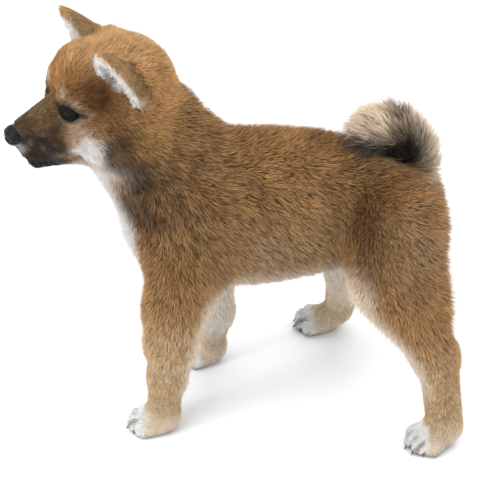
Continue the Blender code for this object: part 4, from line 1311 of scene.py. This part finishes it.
# -------------------------------------------------------------------- whiskers
WHISKER_MAT, nt, b = node_material("whisker")
tc = nt.nodes.new("ShaderNodeTexCoord")
no = nt.nodes.new("ShaderNodeTexNoise")
no.inputs["Scale"].default_value = 60.0
nt.links.new(tc.outputs["Object"], no.inputs["Vector"])
cr = nt.nodes.new("ShaderNodeMix")
cr.data_type = "RGBA"
cr.inputs[6].default_value = (0.02, 0.017, 0.015, 1)
cr.inputs[7].default_value = (0.10, 0.085, 0.07, 1)
nt.links.new(no.outputs["Fac"], cr.inputs[0])
nt.links.new(cr.outputs[2], b.inputs["Base Color"])
b.inputs["Roughness"].default_value = 0.4
shells = []
wr = np.random.default_rng(21)
for s in (1, -1):
    for i in range(16):
        row, colm = i // 5, i % 5
        base = (s * (12.5 - 0.7 * colm), 42 + 3.6 * colm, -15 - 3.6 * row)
        q = np.array(base) + wr.normal(size=3) * 0.6
        p0 = head_point(*q)
        for _ in range(6):
            g = slopes(p0[None], "skin")[0]
            p0 = p0 - g * form(p0[None], "skin")[0]
        out = slopes(p0[None], "skin")[0]
        d = unit(out * 0.55 + head_dir(s * 0.4, -0.15, -0.12) + head_dir(*(wr.normal(size=3) * 0.16)))
        L_ = 20 + 10 * wr.random()
        line = [p0 - out * 0.6 + d * L_ * t_ + vec(0, 0, -1) * 3.0 * t_ * t_
                + head_dir(0, -1, 0) * 4.0 * t_ * t_ for t_ in np.linspace(0, 1, 6)]
        shells.append(outward(*tube(line, [0.08, 0.075, 0.07, 0.06, 0.04, 0.015], 4)))
    for i in range(4):
        p0 = head_point(s * (12 + 2.4 * i), 36.5 - 1.6 * i, 17.0)
        for _ in range(6):
            g = slopes(p0[None], "skin")[0]
            p0 = p0 - g * form(p0[None], "skin")[0]
        out = slopes(p0[None], "skin")[0]
        d = unit(out + head_dir(s * 0.1, 0.3, 0.7) + head_dir(*(wr.normal(size=3) * 0.12)))
        line = [p0 - out * 0.6 + d * 17 * t_ for t_ in np.linspace(0, 1, 5)]
        shells.append(outward(*tube(line, [0.09, 0.08, 0.07, 0.05, 0.02], 4)))
v, t = join(shells)
me = mesh_from_arrays("whiskers", v, t)
o = add_object("whiskers", me)
me.materials.append(WHISKER_MAT)
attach(o, "root")

# ------------------------------------------------- floor, light and the camera
bm = bmesh.new()
bmesh.ops.create_grid(bm, x_segments=8, y_segments=8, size=6.0)
me = bpy.data.meshes.new("floor")
bm.to_mesh(me)
bm.free()
floor = add_object("floor", me)
FLOOR_MAT, nt, b = node_material("floor_white")
tc = nt.nodes.new("ShaderNodeTexCoord")
no = nt.nodes.new("ShaderNodeTexNoise")
no.inputs["Scale"].default_value = 3.0
nt.links.new(tc.outputs["Object"], no.inputs["Vector"])
cr = nt.nodes.new("ShaderNodeMix")
cr.data_type = "RGBA"
cr.inputs[6].default_value = (0.945, 0.955, 0.975, 1)
cr.inputs[7].default_value = (0.96, 0.97, 0.99, 1)
nt.links.new(no.outputs["Fac"], cr.inputs[0])
nt.links.new(cr.outputs[2], b.inputs["Base Color"])
b.inputs["Roughness"].default_value = 0.6
b.inputs["Specular IOR Level"].default_value = 0.1
me.materials.append(FLOOR_MAT)

world = bpy.data.worlds.new("studio")
bpy.context.scene.world = world
world.use_nodes = True
bg = world.node_tree.nodes["Background"]
bg.inputs["Color"].default_value = (0.97, 0.985, 1.0, 1)
bg.inputs["Strength"].default_value = 0.93


def area(name, place, target, size, power, colour=(1, 1, 1)):
    L = bpy.data.lights.new(name, "AREA")
    L.shape = "RECTANGLE"
    L.size, L.size_y = size
    L.energy = power
    L.color = colour
    o = bpy.data.objects.new(name, L)
    bpy.context.scene.collection.objects.link(o)
    o.location = place
    o.rotation_euler = (Vector(target) - Vector(place)).to_track_quat("-Z", "Y").to_euler()
    return o


area("key", (0.9, -1.1, 1.6), (0.0, 0.0, 0.15), (1.3, 1.3), 22)
area("top", (-0.3, 0.3, 1.9), (0.0, 0.0, 0.1), (1.8, 1.8), 13)
area("fill", (1.6, 0.9, 0.9), (0.0, 0.0, 0.15), (1.0, 1.0), 6)
area("catch", (0.76, -1.49, 0.68), (0.03, -0.12, 0.27), (0.22, 0.22), 4.2)
area("rim", (-1.5, 0.7, 1.0), (0.0, 0.0, 0.15), (1.2, 1.2), 6)

cam_data = bpy.data.cameras.new("camera")
cam = bpy.data.objects.new("camera", cam_data)
bpy.context.scene.collection.objects.link(cam)
TARGET = np.array([12.0, 0.0, 144.6])
PITCH, YAW, DISTANCE = np.radians(33.0), np.radians(5.0), 1300.0
look = np.array([-np.cos(PITCH) * np.cos(YAW), np.cos(PITCH) * np.sin(YAW), -np.sin(PITCH)])
place = (TARGET - look * DISTANCE + SHIFT) * MM
cam.location = place
cam.rotation_euler = Vector(look).to_track_quat("-Z", "Y").to_euler()
cam_data.sensor_width = 36.0
cam_data.lens = 1885.0 / 480.0 * 36.0
cam_data.clip_start = 0.05
cam_data.clip_end = 50.0
bpy.context.scene.camera = cam
bpy.context.scene.view_settings.view_transform = "Standard"
